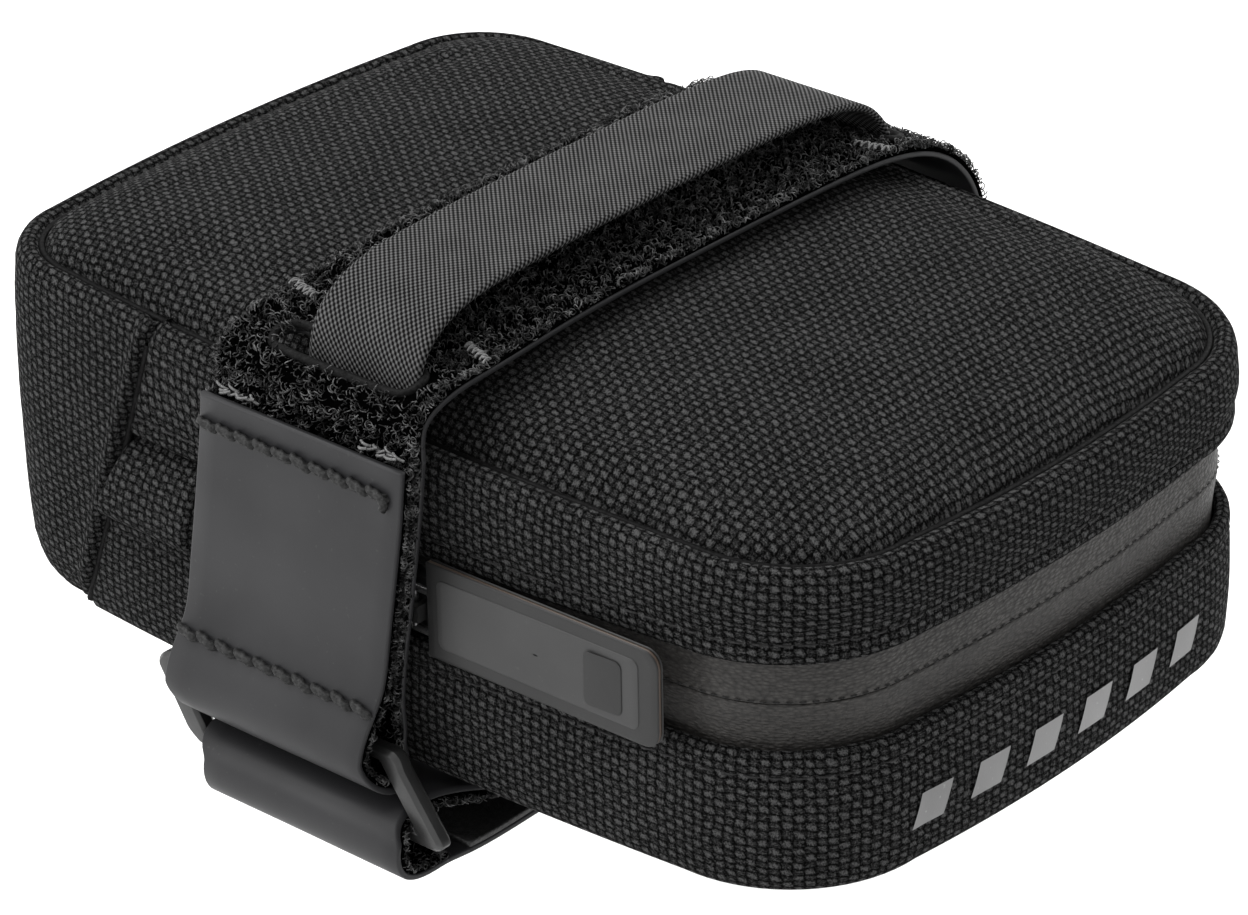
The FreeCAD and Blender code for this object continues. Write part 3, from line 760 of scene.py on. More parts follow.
NEAR = ((-50.95, 41.4), (-50.95, 34.0), (-50.97, 26.0), (-51.0, 18.0), (-51.4, 12.6), (-53.0, 8.6),
        (-53.85, 4.9), (-52.9, 2.0), (-50.6, 1.0), (-48.3, 2.0), (-47.35, 4.9), (-48.0, 8.6),
        (-48.5, 13.0), (-48.5, 22.0), (-48.5, 32.0), (-48.5, 41.4))
TOP = ((-48.5, 43.0), (-48.0, 45.4), (-45.2, 47.2), (-38.0, 48.2), (-25.0, 49.1), (0.0, 49.5),
       (20.0, 49.3), (32.0, 48.4), (39.0, 46.4), (43.6, 43.4), (46.4, 40.0), (47.9, 36.0))
FAR = ((47.95, 33.2), (48.1, 25.0), (48.1, 15.0), (48.05, 6.0), (47.9, 1.4))
UNDER = ((47.8, 0.2), (46.9, -3.4), (44.0, -6.0), (38.0, -7.3), (25.0, -8.2), (0.0, -8.3),
         (-15.0, -7.8), (-28.0, -6.5), (-36.0, -4.6), (-43.0, -2.4))
FOLD = ((-46.5, -1.75), (-50.6, -1.85), (-53.1, -2.95), (-53.9, -5.2), (-53.1, -7.5),
        (-50.6, -8.6), (-46.5, -8.75))
TAIL = ((-43.0, -9.2), (-30.0, -9.8), (-15.0, -10.5), (6.0, -10.8))
WEB = ((-43.9, 42.0), (-43.8, 46.5), (-42.6, 50.2), (-38.5, 53.2), (-30.0, 54.7), (-15.0, 55.2),
       (0.0, 55.3), (15.0, 55.2), (24.0, 54.7), (30.0, 53.3), (33.6, 50.6), (35.2, 47.6), (35.7, 45.9))
LENGTHWISE = {"near": NEAR, "top": TOP, "far": FAR, "under": UNDER, "fold": FOLD, "tail": TAIL}
STRAP = Route(sum(LENGTHWISE.values(), ()))
WEBBING = Route(WEB)
FIRST = np.cumsum([0] + [len(stops) for stops in LENGTHWISE.values()])
# Where each part of the strap starts and ends, as distances along it; the gaps between are its bends
SPAN = {part: (STRAP.stops[a], STRAP.stops[b - 1]) for part, a, b in zip(LENGTHWISE, FIRST, FIRST[1:])}
SPAN["under"] = (SPAN["under"][0], SPAN["fold"][1])
NEAR_END = SPAN["near"][1]


def lean(y, z):
    """The strap crosses the top a little towards the tail, and its ring side hangs towards the spine."""
    side = np.clip((-20 - y) / 25, 0, 1)
    hang = -LEAN * np.clip((41.4 - z) / 37, 0, 1) + (LEAN + 1.0) * np.clip((4.3 - z) / 8.0, 0, 1) ** 1.3
    return SHIFT_X * np.clip((z - 5) / 30, 0, 1) + hang * side


def section(width, low, high, corner=0.22, count=13):
    """Closed outline of a flat strip: across, offset."""
    half, edge = width / 2, min(corner, (high - low) / 2.01)
    over = np.linspace(-half + edge, half - edge, count)
    ends = [(half - edge * 0.3, -edge * 0.3), (half, -edge)]
    top = [(x, high) for x in over] + [(x, high + z) for x, z in ends]
    foot = [(half, low + edge), (half - edge * 0.3, low + edge * 0.3)] + [(x, low) for x in over[::-1]]
    left = [(-half + edge * 0.3, low + edge * 0.3), (-half, low + edge), (-half, high - edge),
            (-half + edge * 0.3, high - edge * 0.3)]
    return np.array(top + foot + left)


def ribbon(name, route, start, end, low, high, surface, centre=STRAP_X, width=STRAP_WIDTH, step=0.7,
           caps=True, corner=0.22, wave=0.0):
    """Strip of the strap or the webbing between two distances along its route, from low to high above it."""
    s = np.linspace(start, end, max(3, int((end - start) / step) + 2))
    line, side, _ = route.at(s)
    cut = section(width, low, high, corner)
    points = np.empty((len(s), len(cut), 3))
    ripple = wave * rough_noise(s[:, None], cut[None, :, 0], 22.0, 31)
    off = cut[None, :, 1] + ripple
    points[..., 1] = line[:, None, 0] + side[:, None, 0] * off
    points[..., 2] = line[:, None, 1] + side[:, None, 1] * off
    points[..., 0] = centre + cut[None, :, 0] + lean(points[..., 1], points[..., 2]) * (route is STRAP)
    girth = distances(np.vstack([cut, cut[:1]]))
    return grid(name, points, columns_of(s[:, None], girth), surface, wrap=True, caps=caps)


def stadium(name, low_y, high_y):
    """Upright block with the slot's round-ended outline, to cut it out with."""
    radius, middle = (high_y - low_y) / 2, (low_y + high_y) / 2
    half = SLOT_WIDTH / 2 - radius
    turn = np.radians(np.arange(-90, 91, 10))
    right = columns_of(SLOT_X + half + radius * np.cos(turn), middle + radius * np.sin(turn))
    left = columns_of(SLOT_X - half - radius * np.cos(turn), middle - radius * np.sin(turn))
    loop = np.vstack([right, left])
    rows = np.array([np.column_stack([loop, np.full(len(loop), z)]) for z in (38.0, 56.0)])
    return grid(name, rows, np.zeros((2, len(loop) + 1, 2)), "weave", wrap=True, caps=True)


def carve(piece, holes):
    for hole in holes:
        tool = piece.modifiers.new("cut", "BOOLEAN")
        tool.object = hole
        tool.operation = "DIFFERENCE"
        tool.solver = "EXACT"
    bake(piece)


def in_slot(x, y):
    """Whether points of the strap lie over one of its two slots."""
    hit = np.zeros(np.shape(x), bool)
    for low_y, high_y in SLOTS:
        hit |= (np.abs(x - SLOT_X) < SLOT_WIDTH / 2 - 0.3) & (y > low_y - 0.1) & (y < high_y + 0.1)
    return hit


def loops(name, start, end, density, base, reach, edge=0.08):
    """Loop pile: many small curls of thread that stand on the strap, with a share of them at its edges."""
    count = int((end - start) * STRAP_WIDTH * density)
    s = RNG.uniform(start, end, count)
    x = RNG.uniform(-STRAP_WIDTH / 2 + 0.1, STRAP_WIDTH / 2 - 0.1, count)
    fringe = np.sign(x) * (STRAP_WIDTH / 2 - RNG.uniform(0.0, 0.6, count))
    x = np.where(RNG.random(count) < edge, fringe, x)
    line, side, run = STRAP.at(s)
    keep = ~in_slot(STRAP_X + x, line[:, 0])
    s, x, line, side, run = s[keep], x[keep], line[keep], side[keep], run[keep]
    count = len(s)
    radius = RNG.uniform(0.28, 0.62, count) * reach
    lift = base + radius * RNG.uniform(0.35, 0.95, count)
    centre = columns_of(STRAP_X + x, line[:, 0] + side[:, 0] * lift, line[:, 1] + side[:, 1] * lift)
    centre[:, 0] += lean(centre[:, 1], centre[:, 2])
    up = np.column_stack([np.zeros(count), side])
    forward = np.column_stack([np.zeros(count), run])
    wide = np.tile([1.0, 0.0, 0.0], (count, 1))
    spin = RNG.uniform(0, 2 * math.pi, count)[:, None]
    first = wide * np.cos(spin) + forward * np.sin(spin)
    tip = RNG.uniform(-0.9, 0.9, count)[:, None]
    second = up * np.cos(tip) + (forward * np.cos(spin) - wide * np.sin(spin)) * np.sin(tip)
    drift = np.cross(first, second)
    turns = RNG.uniform(0, 2 * math.pi, count)[:, None]
    turns = turns + np.linspace(0, 1, 8) * RNG.uniform(3.6, 6.2, count)[:, None]
    path = first[:, None] * np.cos(turns)[..., None] + second[:, None] * np.sin(turns)[..., None]
    path = path * radius[:, None, None] + drift[:, None] * np.linspace(-0.35, 0.35, 8)[None, :, None]
    threads(name, path + centre[:, None], 0.075, "curl", 3)


def threads(name, paths, radius, surface, sides=5, twist=0.0, taper=False):
    """Round threads along many paths of the same number of points, as one mesh."""
    paths = np.asarray(paths, float)
    count, length = paths.shape[:2]
    run = np.gradient(paths, axis=1)
    run /= np.maximum(np.linalg.norm(run, axis=2, keepdims=True), 1e-9)
    guide = np.where(np.abs(run[..., 2:]) > 0.9, [[[1.0, 0, 0]]], [[[0, 0, 1.0]]])
    one = np.cross(run, guide)
    one /= np.maximum(np.linalg.norm(one, axis=2, keepdims=True), 1e-9)
    two = np.cross(run, one)
    angle = np.arange(sides) * 2 * math.pi / sides
    ridge = np.cos(2 * angle - 2 * math.pi * distances(paths[0])[:, None] / max(twist, 0.1))
    ridge = 1 + 0.2 * (twist > 0) * ridge
    ends = np.sqrt(np.clip(1 - (np.linspace(-1, 1, length) ** 6), 0.05, 1)) if taper else np.ones(length)
    size = radius * ridge * ends[:, None]
    ring = (one[:, :, None] * (np.cos(angle)[None, :] * size)[None, ..., None]
            + two[:, :, None] * (np.sin(angle)[None, :] * size)[None, ..., None])
    points = (paths[:, :, None] + ring).reshape(-1, 3)
    t, r, c = np.meshgrid(np.arange(count), np.arange(length - 1), np.arange(sides), indexing="ij")
    base = t * length * sides
    near, far = base + r * sides, base + (r + 1) * sides
    faces = columns_of(near + c, near + (c + 1) % sides, far + (c + 1) % sides, far + c).reshape(-1, 4)
    return finish_piece(name, points, faces.tolist(), None, surface)


BACK = (-BACKING, 0, "strap_backing")
FELT = (0.02, 0.55, "pile")
CUTTERS = [stadium(f"slot_tool_{i}", *slot) for i, slot in enumerate(SLOTS)]


def gap(a, b, reach=0.0):
    """The bend between two parts of the strap."""
    return SPAN[a][1] - reach, SPAN[b][0] + reach


for part, step, wave, felt_step, felt_wave, felt_start in (
        ("near", 0.5, 0.05, 0.7, 0.0, 0.3), ("top", 0.7, 0.0, 0.7, 0.05, 0.0),
        ("far", 0.7, 0.0, 0.7, 0.0, 0.0), ("under", 0.5, 0.04, 0.5, 0.0, 0.0)):
    start, end = SPAN[part]
    strips = [ribbon(f"{part}_strap_laminate", STRAP, start, end, *BACK, step=step, wave=wave),
              ribbon(f"{part}_strap_felt", STRAP, start + felt_start, end, *FELT, step=felt_step,
                     wave=felt_wave)]
    if part == "top":
        for strip in strips:
            carve(strip, CUTTERS)
ribbon("tail_laminate", STRAP, *SPAN["tail"], *BACK, wave=0.05)
ribbon("tail_hook_face", STRAP, SPAN["tail"][0], SPAN["tail"][1] - 0.3, 0.02, HOOK, "hooks")
for part, a, b in (("near", "near", "top"), ("far", "top", "far"), ("under", "far", "under"),
                   ("tail", "under", "tail")):
    ribbon(f"{part}_bend_laminate", STRAP, *gap(a, b), *BACK, step=0.3, caps=False)
    if part != "tail":
        ribbon(f"{part}_bend_felt", STRAP, *gap(a, b), *FELT, step=0.3, caps=False)
for cutter in CUTTERS:
    bpy.data.objects.remove(cutter)

loops("top_strap_loops", *SPAN["top"], 3.3, 0.5, 0.85)
loops("near_strap_loops", 0.2, NEAR_END, 1.9, 0.35, 0.8, 0.45)
loops("near_bend_loops", NEAR_END - 1.5, SPAN["top"][0] + 1.0, 3.2, 0.5, 0.85)
loops("far_bend_loops", *gap("top", "far", 0.4), 2.8, 0.4, 0.7)
loops("under_bend_loops", *gap("far", "under", 0.4), 2.8, 0.4, 0.7)
loops("far_strap_loops", *SPAN["far"], 2.64, 0.4, 0.7)
loops("under_strap_loops", *SPAN["under"], 1.8, 0.35, 0.8, 0.3)


def slot_lip(name, low_y, high_y):
    """Sealed edge of a slot in the strap, a little proud of the pile."""
    turn = np.linspace(0, 2 * math.pi, 61)
    radius, middle = (high_y - low_y) / 2, (low_y + high_y) / 2
    half = SLOT_WIDTH / 2 - radius
    x = SLOT_X + radius * np.cos(turn) + half * np.tanh(4 * np.cos(turn))
    y = middle + radius * np.sin(turn)
    rising = (STRAP.s > SPAN["top"][0]) & (STRAP.s < SPAN["top"][1])
    line, side, _ = STRAP.at(np.interp(y, STRAP.line[rising, 0], STRAP.s[rising]))
    threads(name, [np.column_stack([x, line + side * 0.5])], 0.55, "binding", 8)


slot_lip("slot_lip_near", *SLOTS[0])
slot_lip("slot_lip_far", *SLOTS[1])

ribbon("webbing_strip", WEBBING, 0, WEBBING.s[-1], 0, 1.0, "webbing", WEB_X, WEB_WIDTH, step=0.8,
       corner=0.45, wave=0.04)


def rope_row(name, height, x1, hook=0.0):
    """Row of thick twisted stitches across the flap, each one slightly askew."""
    flap = slice(199, None, -1)
    distance = float(np.interp(height, STRAP.line[flap, 1], STRAP.s[flap]))
    line, side, run = STRAP.at(np.full(ROW_STITCHES, distance))
    xs = np.linspace(ROW_START, x1, ROW_STITCHES)
    reach = (x1 - ROW_START) / (ROW_STITCHES - 1) * 0.57
    t = np.linspace(-1, 1, 11)
    paths = []
    for i, x in enumerate(xs):
        tilt = RNG.uniform(0.2, 0.5)
        off = 0.1 - BACKING - 0.58 * (1 - t ** 6)
        y = line[i, 0] + side[i, 0] * off + run[i, 0] * t * tilt
        z = line[i, 1] + side[i, 1] * off + run[i, 1] * t * tilt
        paths.append(columns_of(x + t * reach + lean(y, z), y, z))
    if hook:
        y, z = line[-1, 0] + side[-1, 0] * off, line[-1, 1] + run[-1, 1] * hook * (t + 0.8)
        paths.append(columns_of(x1 + reach * 0.7 + lean(y, z), y, z))
    threads(name, paths, 0.52, "thread_black", 10, 1.3, True)


ROW_STITCHES = 10
ROW_START = -15.8
rope_row("flap_stitches_upper", 38.0, 9.4, 0.95)
rope_row("flap_stitches_lower", 10.6, 10.8)


def bartack(name, x, y, z, turn):
    """Dense untidy zigzag of pale thread over the webbing's edge."""
    paths = []
    a = math.radians(turn)
    for i in range(11):
        t = np.linspace(-1, 1, 6)
        px = (i - 5) * 0.42 + RNG.uniform(0.15, 0.4) * t + RNG.uniform(-0.1, 0.1)
        py = RNG.uniform(0.35, 0.75) * t * (1 if i % 2 else -1) + RNG.uniform(-0.15, 0.15)
        paths.append(columns_of(x + px * math.cos(a) - py * math.sin(a),
                               y + px * math.sin(a) + py * math.cos(a), z + 0.3 * (1 - t ** 2)))
    threads(name, paths, 0.15, "thread_grey", 5)


bartack("bartack_near_spine", -12.6, -38.6, 50.0, -18)
bartack("bartack_near_tail", 12.2, -37.8, 49.7, -24)
bartack("bartack_far_spine", -11.6, 29.0, 50.4, 12)
bartack("bartack_far_tail", 12.2, 29.0, 50.2, 14)


def edge_tack(name, x0, x1):
    """Pale stitches that close the flap's top edge and sink between the loops."""
    paths = []
    for i, x in enumerate(np.arange(x0, x1, 0.55)):
        t = np.linspace(-1, 1, 5)
        y = -51.0 + RNG.uniform(0.2, 1.5) - 0.25 * (1 - t ** 2)
        z = 41.8 + RNG.uniform(0.1, 0.4) * t + RNG.uniform(-0.1, 0.3)
        paths.append(columns_of(x + RNG.uniform(0.5, 0.9) * t * (1 if i % 3 else -1), y, z))
    threads(name, paths, 0.17, "thread_grey", 6)


edge_tack("flap_tack_spine", -14.6, -9.6)
edge_tack("flap_tack_tail", 6.8, 12.0)


def topstitch(name, height_of, end_x, out=-0.12, pitch=2.6, share=0.74, thick=0.13):
    """Sewing line round a gusset from end_x on one side to end_x on the other, in short threads."""
    paths = []
    for start in np.arange(near_s(end_x), far_s(end_x), pitch):
        s = np.linspace(start, start + pitch * share, 5)
        spot, normal = along(s)
        dip = out + 0.16 * np.sin(np.linspace(0, math.pi, 5))
        paths.append(np.column_stack([spot + normal * dip[:, None], height_of(spot[:, 0])]))
    threads(name, paths, thick, "thread_black", 5, taper=True)


def seam_cord(name, spot, z, radius=0.42):
    """Dark cord of seam thread, seen at the bottom of a seam's groove; along the spine seam it is also
    painted shade that darkens the groove.
    """
    threads(name, [np.column_stack([spot, z])], radius, "binding", 6)


def rim_cord(name, height_of):
    spot, normal = along(np.linspace(0, ROUND, 400))
    seam_cord(name, spot - normal * (SEAM_INSET + 0.05), height_of(spot[:, 0]))


# Cord of dark seam thread along the bottom of the spine seam's groove, which also darkens the groove as
# painted shade.
def spine_groove_shade_cord(name, s_of):
    z = np.linspace(1.2, 39.0, 60)
    spot, normal = along(np.array([float(s_of(height)) for height in z]))
    seam_cord(name, spot - normal * SEAM_CORD_DEPTH, z, 0.5)


SEAM_CORD_DEPTH = 0.42
rim_cord("top_seam_cord", top_edge(-0.85))
rim_cord("bottom_seam_cord", level(0.85))
spine_groove_shade_cord("spine_seam_cord_near", seam_start)
spine_groove_shade_cord("spine_seam_cord_far", seam_end)
topstitch("upper_topstitch", zip_edge(1, 2.4), -35.5)
topstitch("lower_topstitch", zip_edge(-1, 2.4), -39)
topstitch("zip_line_dashes", lambda x: zip_z(x) + 0.3, GARAGE_X + 1, -1.56, 1.5, 0.6, 0.08)


# ---------------------------------------------------------------- hardware

def soften(piece, width, segments):
    """Rounds the piece's sharp edges; width is in millimetres."""
    weld = piece.modifiers.new("weld", "WELD")
    weld.merge_threshold = 1e-6
    edge = piece.modifiers.new("edges", "BEVEL")
    edge.width = width * MM
    edge.segments = segments
    edge.limit_method = "ANGLE"
    edge.angle_limit = math.radians(25)
    bake(piece)


def hard_piece(name, rows, surface, width, segments):
    """Closed solid from rows of points; hardware needs no cloth coordinates."""
    points = np.array(rows)
    piece = grid(name, points, np.zeros((len(points), points.shape[1] + 1, 2)), surface, wrap=True)
    soften(piece, width, segments)


def node_span(node):
    """A CAD node's box, in millimetres in the bag's frame."""
    low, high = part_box(node)
    return (np.array(low) - ZERO) / MM, (np.array(high) - ZERO) / MM


RING_CORNER = 2.0
BAR_X = 3.4
BAR_Z = 1.9
CHAMFER = 0.5
RING_TAPER = 0.02
RING_LIFT = 2.2  # the lower bar lies this much higher than in CAD, in the strap's fold
SWING_ROOM = 0.7  # extra opening on the spine side, so that the ring swings clear of the flap's fold


def flat_ring(name):
    """Rectangular frame of flat bar with rounded outer corners and chamfered edges."""
    (x0, y0, z0), (x1, y1, z1) = node_span("ring")
    z0 = z0 + RING_LIFT
    half_x, half_y, half_z = (x1 - x0) / 2 * 0.98 + SWING_ROOM / 2, (y1 - y0) / 2, (z1 - z0) / 2
    steps = [(0, 0, half_y - CHAMFER), (CHAMFER, CHAMFER, half_y),
             (BAR_X - CHAMFER, BAR_Z - CHAMFER, half_y), (BAR_X, BAR_Z, half_y - CHAMFER)]
    steps += [(x, z, -depth) for x, z, depth in steps[::-1]]
    rows = []
    for inset_x, inset_z, depth in steps + steps[:1]:
        radius = max(RING_CORNER - inset_x, 0.5)
        cx, cz = half_x - inset_x - radius, half_z - inset_z - radius
        flat = np.vstack([quarter(sx * cx, sz * cz, radius, start) for sx, sz, start in
                          ((1, 1, 0), (-1, 1, 90), (-1, -1, 180), (1, -1, 270))])
        x = STRAP_X - SWING_ROOM / 2 + flat[:, 0] * (1 - RING_TAPER * np.clip(flat[:, 1] / half_z, -1, 1))
        y, z = np.full(len(flat), (y0 + y1) / 2 - depth), (z0 + z1) / 2 + flat[:, 1]
        rows.append(columns_of(x + lean(y, z), y, z))
    hard_piece(name, rows, "ring_metal", 0.22, 2)


flat_ring("ring_bar")


def slab(name, low, high, radius, surface, bow, small=0.25):
    """Thin plate with rounded corners at its free end, a soft edge and a slight bow along X."""
    (x0, y0, z0), (x1, y1, z1) = low, high
    loop = np.vstack([quarter(x1 - radius, z1 - radius, radius, 0),
                      quarter(x0 + small, z1 - small, small, 90),
                      quarter(x0 + small, z0 + small, small, 180),
                      quarter(x1 - radius, z0 + radius, radius, 270)])
    edge = min(0.12, (y1 - y0) / 2.5)
    middle = np.array([(x0 + x1) / 2, (z0 + z1) / 2])
    pull = np.array([(x1 - x0 - 2 * edge) / (x1 - x0), (z1 - z0 - 2 * edge) / (z1 - z0)])
    rows = []
    for share, y in ((pull * 0.02, y0), (pull * 0.6, y0), (pull * 0.94, y0), (pull, y0), (1.0, y0 + edge),
                     (1.0, y1 - edge), (pull, y1), (pull * 0.94, y1), (pull * 0.6, y1), (pull * 0.02, y1)):
        flat = middle + (loop - middle) * share
        sag = bow * ((flat[:, 0] - x0) / (x1 - x0)) ** 2
        rows.append(columns_of(flat[:, 0], y + sag, flat[:, 1]))
    hard_piece(name, rows, surface, 0.05, 1)


TAB_BOW = 0.5
SKIN = 0.28
(x0, y0, z0), (x1, y1, z1) = node_span("pull_tab")
slab("tab_front_layer", (x0, y0, z0), (x1, y0 + SKIN, z1), 2.0, "tab", TAB_BOW)
slab("tab_core_layer", (x0, y0 + SKIN, z0 + 0.06), (x1 - 0.06, y1 - SKIN, z1 - 0.06), 2.0, "tab_core",
     TAB_BOW)
slab("tab_back_layer", (x0, y1 - SKIN, z0), (x1, y1, z1), 2.0, "tab", TAB_BOW)
(x0, y0, z0), (x1, y1, z1) = node_span("pull_tab_panel")
slab("tab_face_panel", (x0, y0 + 0.18, z0), (x1, y1 + 0.05, z1), 1.0, "tab_panel", TAB_BOW * 0.9, 1.0)
slab("tab_plain_mark", (x1 - 7.2, y0 + 0.12, z0 + 1), (x1 - 2.2, y0 + 0.2, z1 - 1), 0.8, "tab", TAB_BOW * 0.7,
     0.8)


# Plain slanted bars of reflective ink that lie on the lower gusset's tail end
PRINT_HALF = 2.4
PRINT_SLANT = 0.35
print_low, print_high = node_span("reflective_print")
print_foot, print_head = print_low[2] + 0.9, print_high[2] - 0.9
tail_end = CLOSED[:, 0] > 40
for i in range(6):
    middle_s = float(np.interp(print_low[1] + 2.5 + 9.0 * i, CLOSED[tail_end, 1], ARC[tail_end]))
    rows, uv = [], []
    for z in np.linspace(print_foot, print_head, 7):
        s = middle_s + np.linspace(-PRINT_HALF, PRINT_HALF, 7) + PRINT_SLANT * (z - print_foot)
        spot, normal = along(s)
        out = 0.34 + 0.32 * math.sin(math.pi * np.clip((z - 3.2) / 9.2, 0, 1))
        rows.append(np.column_stack([spot + normal * out, np.full(len(s), z)]))
        uv.append(columns_of(s, z))
    grid(f"reflective_bar_{i}", np.array(rows), np.array(uv), "print")


# ---------------------------------------------------------------- what rides on what


def settle(pieces, *bodies):
    """Puts pieces on one body. Given two bodies, it attaches the pieces to neither and only bakes their
    placement into their meshes;
    the two points after the bodies are not used. The CAD nodes that a piece stands for follow its name."""
    for entry in pieces.split():
        name, *nodes = entry.split(":")
        piece = bpy.data.objects[name]
        if len(bodies) == 1:
            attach(piece, *bodies)
        else:
            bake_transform(piece)
        if nodes:
            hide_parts(*nodes)


settle("""upper_gusset_panel:upper_gusset spine_end_panel:spine_panel zip_end_near:zip_end_cover_near
       zip_end_far:zip_end_cover_far upper_zip_half:upper_zip_tape top_crown_panel:top_panel
       upper_lining_cloth:upper_lining top_strap_laminate:top_strap_backing top_strap_felt:top_strap_pile
       top_strap_loops webbing_strip:webbing_band upper_topstitch top_seam_cord spine_seam_cord_near
       spine_seam_cord_far bartack_near_spine:bartack_stitches bartack_near_tail bartack_far_spine
       bartack_far_tail slot_lip_near slot_lip_far zip_line_dashes""", "upper_shell")
settle("""lower_zip_half:lower_zip_tape reflective_bar_0:reflective_print reflective_bar_1 reflective_bar_2
       reflective_bar_3 reflective_bar_4 reflective_bar_5""", "lower_shell")
settle("""near_strap_laminate:near_strap_backing near_strap_felt:near_strap_pile near_strap_loops
       flap_stitches_upper:flap_stitches flap_stitches_lower flap_tack_spine flap_tack_tail""", "near_strap")
settle("far_strap_laminate:far_strap_backing far_strap_felt:far_strap_pile far_strap_loops", "far_strap")
settle("""under_strap_laminate:under_strap_backing:strap_fold under_strap_felt:under_strap_pile
       under_strap_loops""", "under_strap")
settle("tail_laminate:strap_tail_backing tail_hook_face:strap_tail_hooks", "strap_tail")
settle("ring_bar:ring", "ring")
settle("""tab_front_layer:pull_tab tab_core_layer tab_back_layer tab_face_panel:pull_tab_panel
       tab_plain_mark""", "pull_tab")
# The spine panel holds the lower fabric up to its seams; these pieces are only baked in place, on no body.
settle("""lower_gusset_panel:lower_gusset spine_end_rim bottom_crown_panel:bottom_panel
       bottom_foam_sheet:bottom_foam_board lower_gusset_board:lower_gusset_stiffener
       lower_lining_cloth:lower_lining lower_topstitch bottom_seam_cord:bottom_seam_binding""",
       "upper_shell", "lower_shell", (-50.0, 0, 3), (-27.0, 0, 3))
settle("near_bend_laminate near_bend_felt near_bend_loops",
       "upper_shell", "near_strap", (STRAP_X, -48.6, 43.0), (STRAP_X, -48.6, 41.4))
settle("far_bend_laminate far_bend_felt far_bend_loops",
       "upper_shell", "far_strap", (STRAP_X, 47.9, 36.0), (STRAP_X, 47.95, 33.2))
settle("under_bend_laminate under_bend_felt under_bend_loops",
       "far_strap", "under_strap", (STRAP_X, 47.9, 1.4), (STRAP_X, 47.9, 0.2))
settle("tail_bend_laminate", "under_strap", "strap_tail", (STRAP_X, -46.5, -9.0), (STRAP_X, -43.0, -9.0))

KEPT = {"foam": "top_foam_board upper_gusset_stiffener spine_stiffener", "binding": "top_seam_binding",
        "coil": "upper_zip_coil lower_zip_coil", "slider_metal": "zip_slider slider_bridge",
        "link": "pull_link"}
for key, nodes in KEPT.items():
    for node in nodes.split():
        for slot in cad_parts[node].material_slots:
            slot.material = SURFACES[key]


def sheet(name, going="", size=None):
    """Works out a piece of cloth's size from its own cloth coordinates unless one is given, and looks up the
    pieces that go with it; nothing is kept from either.
    """
    piece = bpy.data.objects[name]
    if size is None:
        layer = piece.data.uv_layers["cloth"].data
        spots = np.empty(len(layer) * 2)
        layer.foreach_get("uv", spots)
        size = np.ptp(spots.reshape(-1, 2), axis=0)[::-1]
    [bpy.data.objects[other] for other in going.split()]


def strap_size(part):
    return STRAP_WIDTH, SPAN[part][1] - SPAN[part][0]


sheet("upper_gusset_panel", "upper_topstitch")
sheet("lower_gusset_panel", "lower_topstitch")
for name in ("spine_end_panel", "zip_end_near", "zip_end_far"):
    sheet(name)
sheet("upper_lining_cloth", size=(100, 138))
sheet("lower_lining_cloth", size=(104, 142))
for part, held, rests_on, others in (
        ("near", "folded", "ring", ""), ("top", "stretched", "top_panel", " slot_lip_near slot_lip_far"),
        ("far", "stretched", "lower_gusset", ""), ("under", "folded", "bottom_panel", "")):
    sheet(f"{part}_strap_laminate", f"{part}_strap_felt {part}_strap_loops" + others,
          strap_size(part))
sheet("tail_laminate", "tail_hook_face", strap_size("tail"))
sheet("webbing_strip", size=(WEB_WIDTH, WEBBING.s[-1]))


# ---------------------------------------------------------------- floor, light and camera

def area(name, aim, where, size, power):
    lamp = bpy.data.lights.new(name, "AREA")
    lamp.shape = "RECTANGLE"
    lamp.size, lamp.size_y = size
    lamp.energy = power
    thing = bpy.data.objects.new(name, lamp)
    thing.location = where
    thing.rotation_euler = (Vector(aim) - Vector(where)).to_track_quat("-Z", "Y").to_euler()
    bpy.context.collection.objects.link(thing)


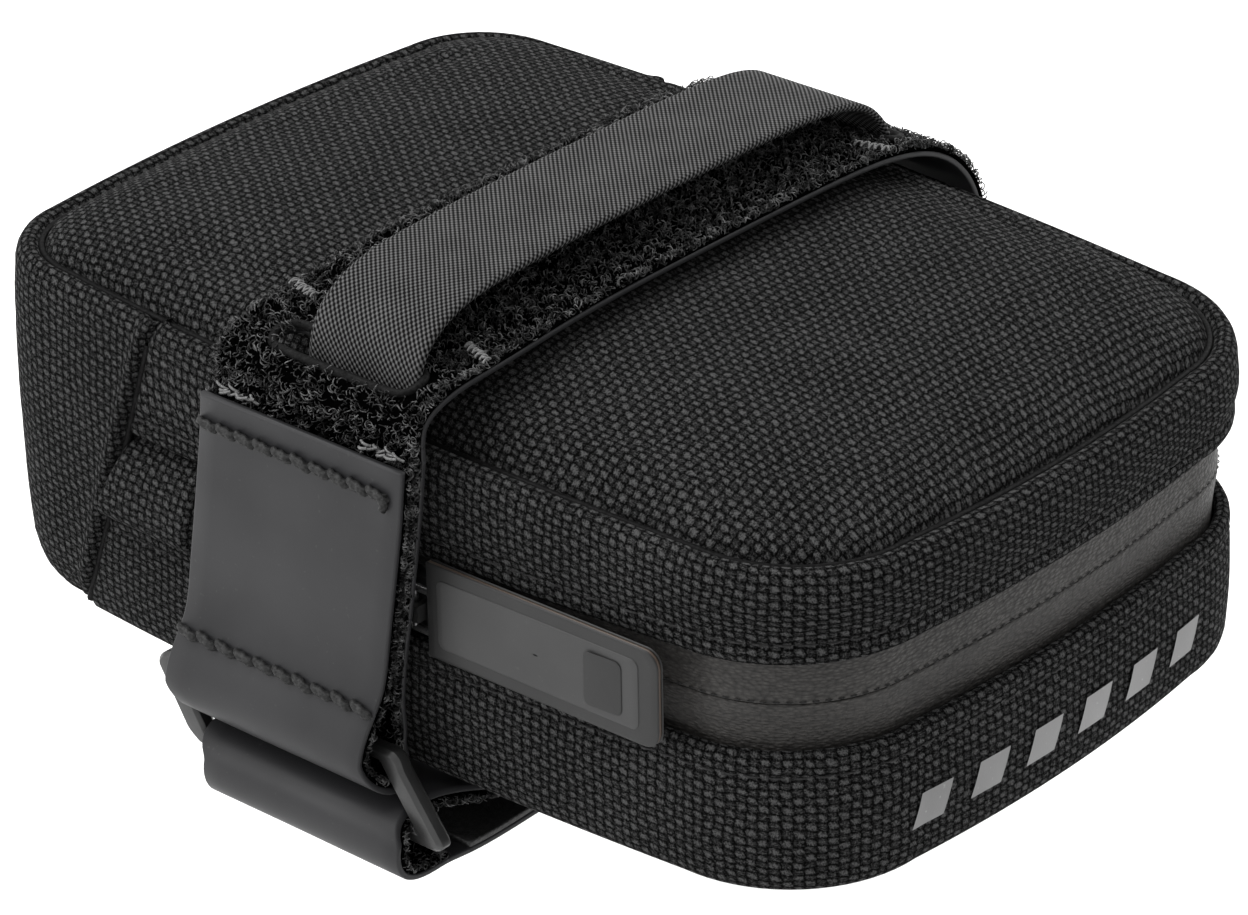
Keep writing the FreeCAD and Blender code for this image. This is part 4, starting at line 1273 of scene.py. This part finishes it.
low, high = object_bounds()
centre = (low + high) / 2
FLOOR_REACH = 6.0
FLOOR_DROP = 0.06  # the lower half opens to 54 mm below the closed bag, and stays above the floor
floor_mesh = bpy.data.meshes.new("floor")
floor_mesh.from_pydata([(x * FLOOR_REACH, y * FLOOR_REACH, low.z - FLOOR_DROP)
                        for x, y in ((-1, -1), (1, -1), (1, 1), (-1, 1))], [], [(0, 1, 2, 3)])
floor = bpy.data.objects.new("floor", floor_mesh)
bpy.context.collection.objects.link(floor)
paint = Nodes("floor_paint", Roughness=0.9)
paint.set("Base Color", paint.ramp(paint.noise(paint.solid(), 3.0), (0.0, grey(0.86)), (1.0, grey(0.9))))
floor_mesh.materials.append(paint.material)

area("key", centre, centre + Vector((-0.35, -0.2, 0.85)), (0.7, 0.7), 9.0)
area("side", centre, centre + Vector((-0.6, -0.75, 0.35)), (0.6, 0.5), 4.0)
area("back", centre, centre + Vector((0.1, 0.9, 0.6)), (0.8, 0.4), 5.0)
world = bpy.data.worlds.new("studio")
bpy.context.scene.world = world
world.use_nodes = True
sky = world.node_tree.nodes["Background"].inputs
sky["Color"].default_value = (1.0, 1.0, 1.0, 1.0)
sky["Strength"].default_value = 0.95
bpy.context.scene.view_settings.view_transform = "Standard"

# The photograph's viewing angle: the camera looks past the bag's origin, so its lens is shifted
AZIMUTH, ELEVATION, ROLL = map(math.radians, (41.512, 29.31, -1.024))
DISTANCE = 600.3
LENS_MM = 148.1423
SHIFT = (-0.00633, 0.107292)
lens = bpy.data.cameras.new("camera")
lens.sensor_width = 36.0
lens.lens = LENS_MM
lens.shift_x, lens.shift_y = SHIFT
camera = bpy.data.objects.new("camera", lens)
turn = (Matrix.Rotation(AZIMUTH, 4, "Z") @ Matrix.Rotation(math.pi / 2 - ELEVATION, 4, "X")
        @ Matrix.Rotation(ROLL, 4, "Z"))
camera.matrix_world = Matrix.Translation(point(0, 0, 0)) @ turn @ Matrix.Translation((0, 0, DISTANCE * MM))
bpy.context.collection.objects.link(camera)
bpy.context.scene.camera = camera
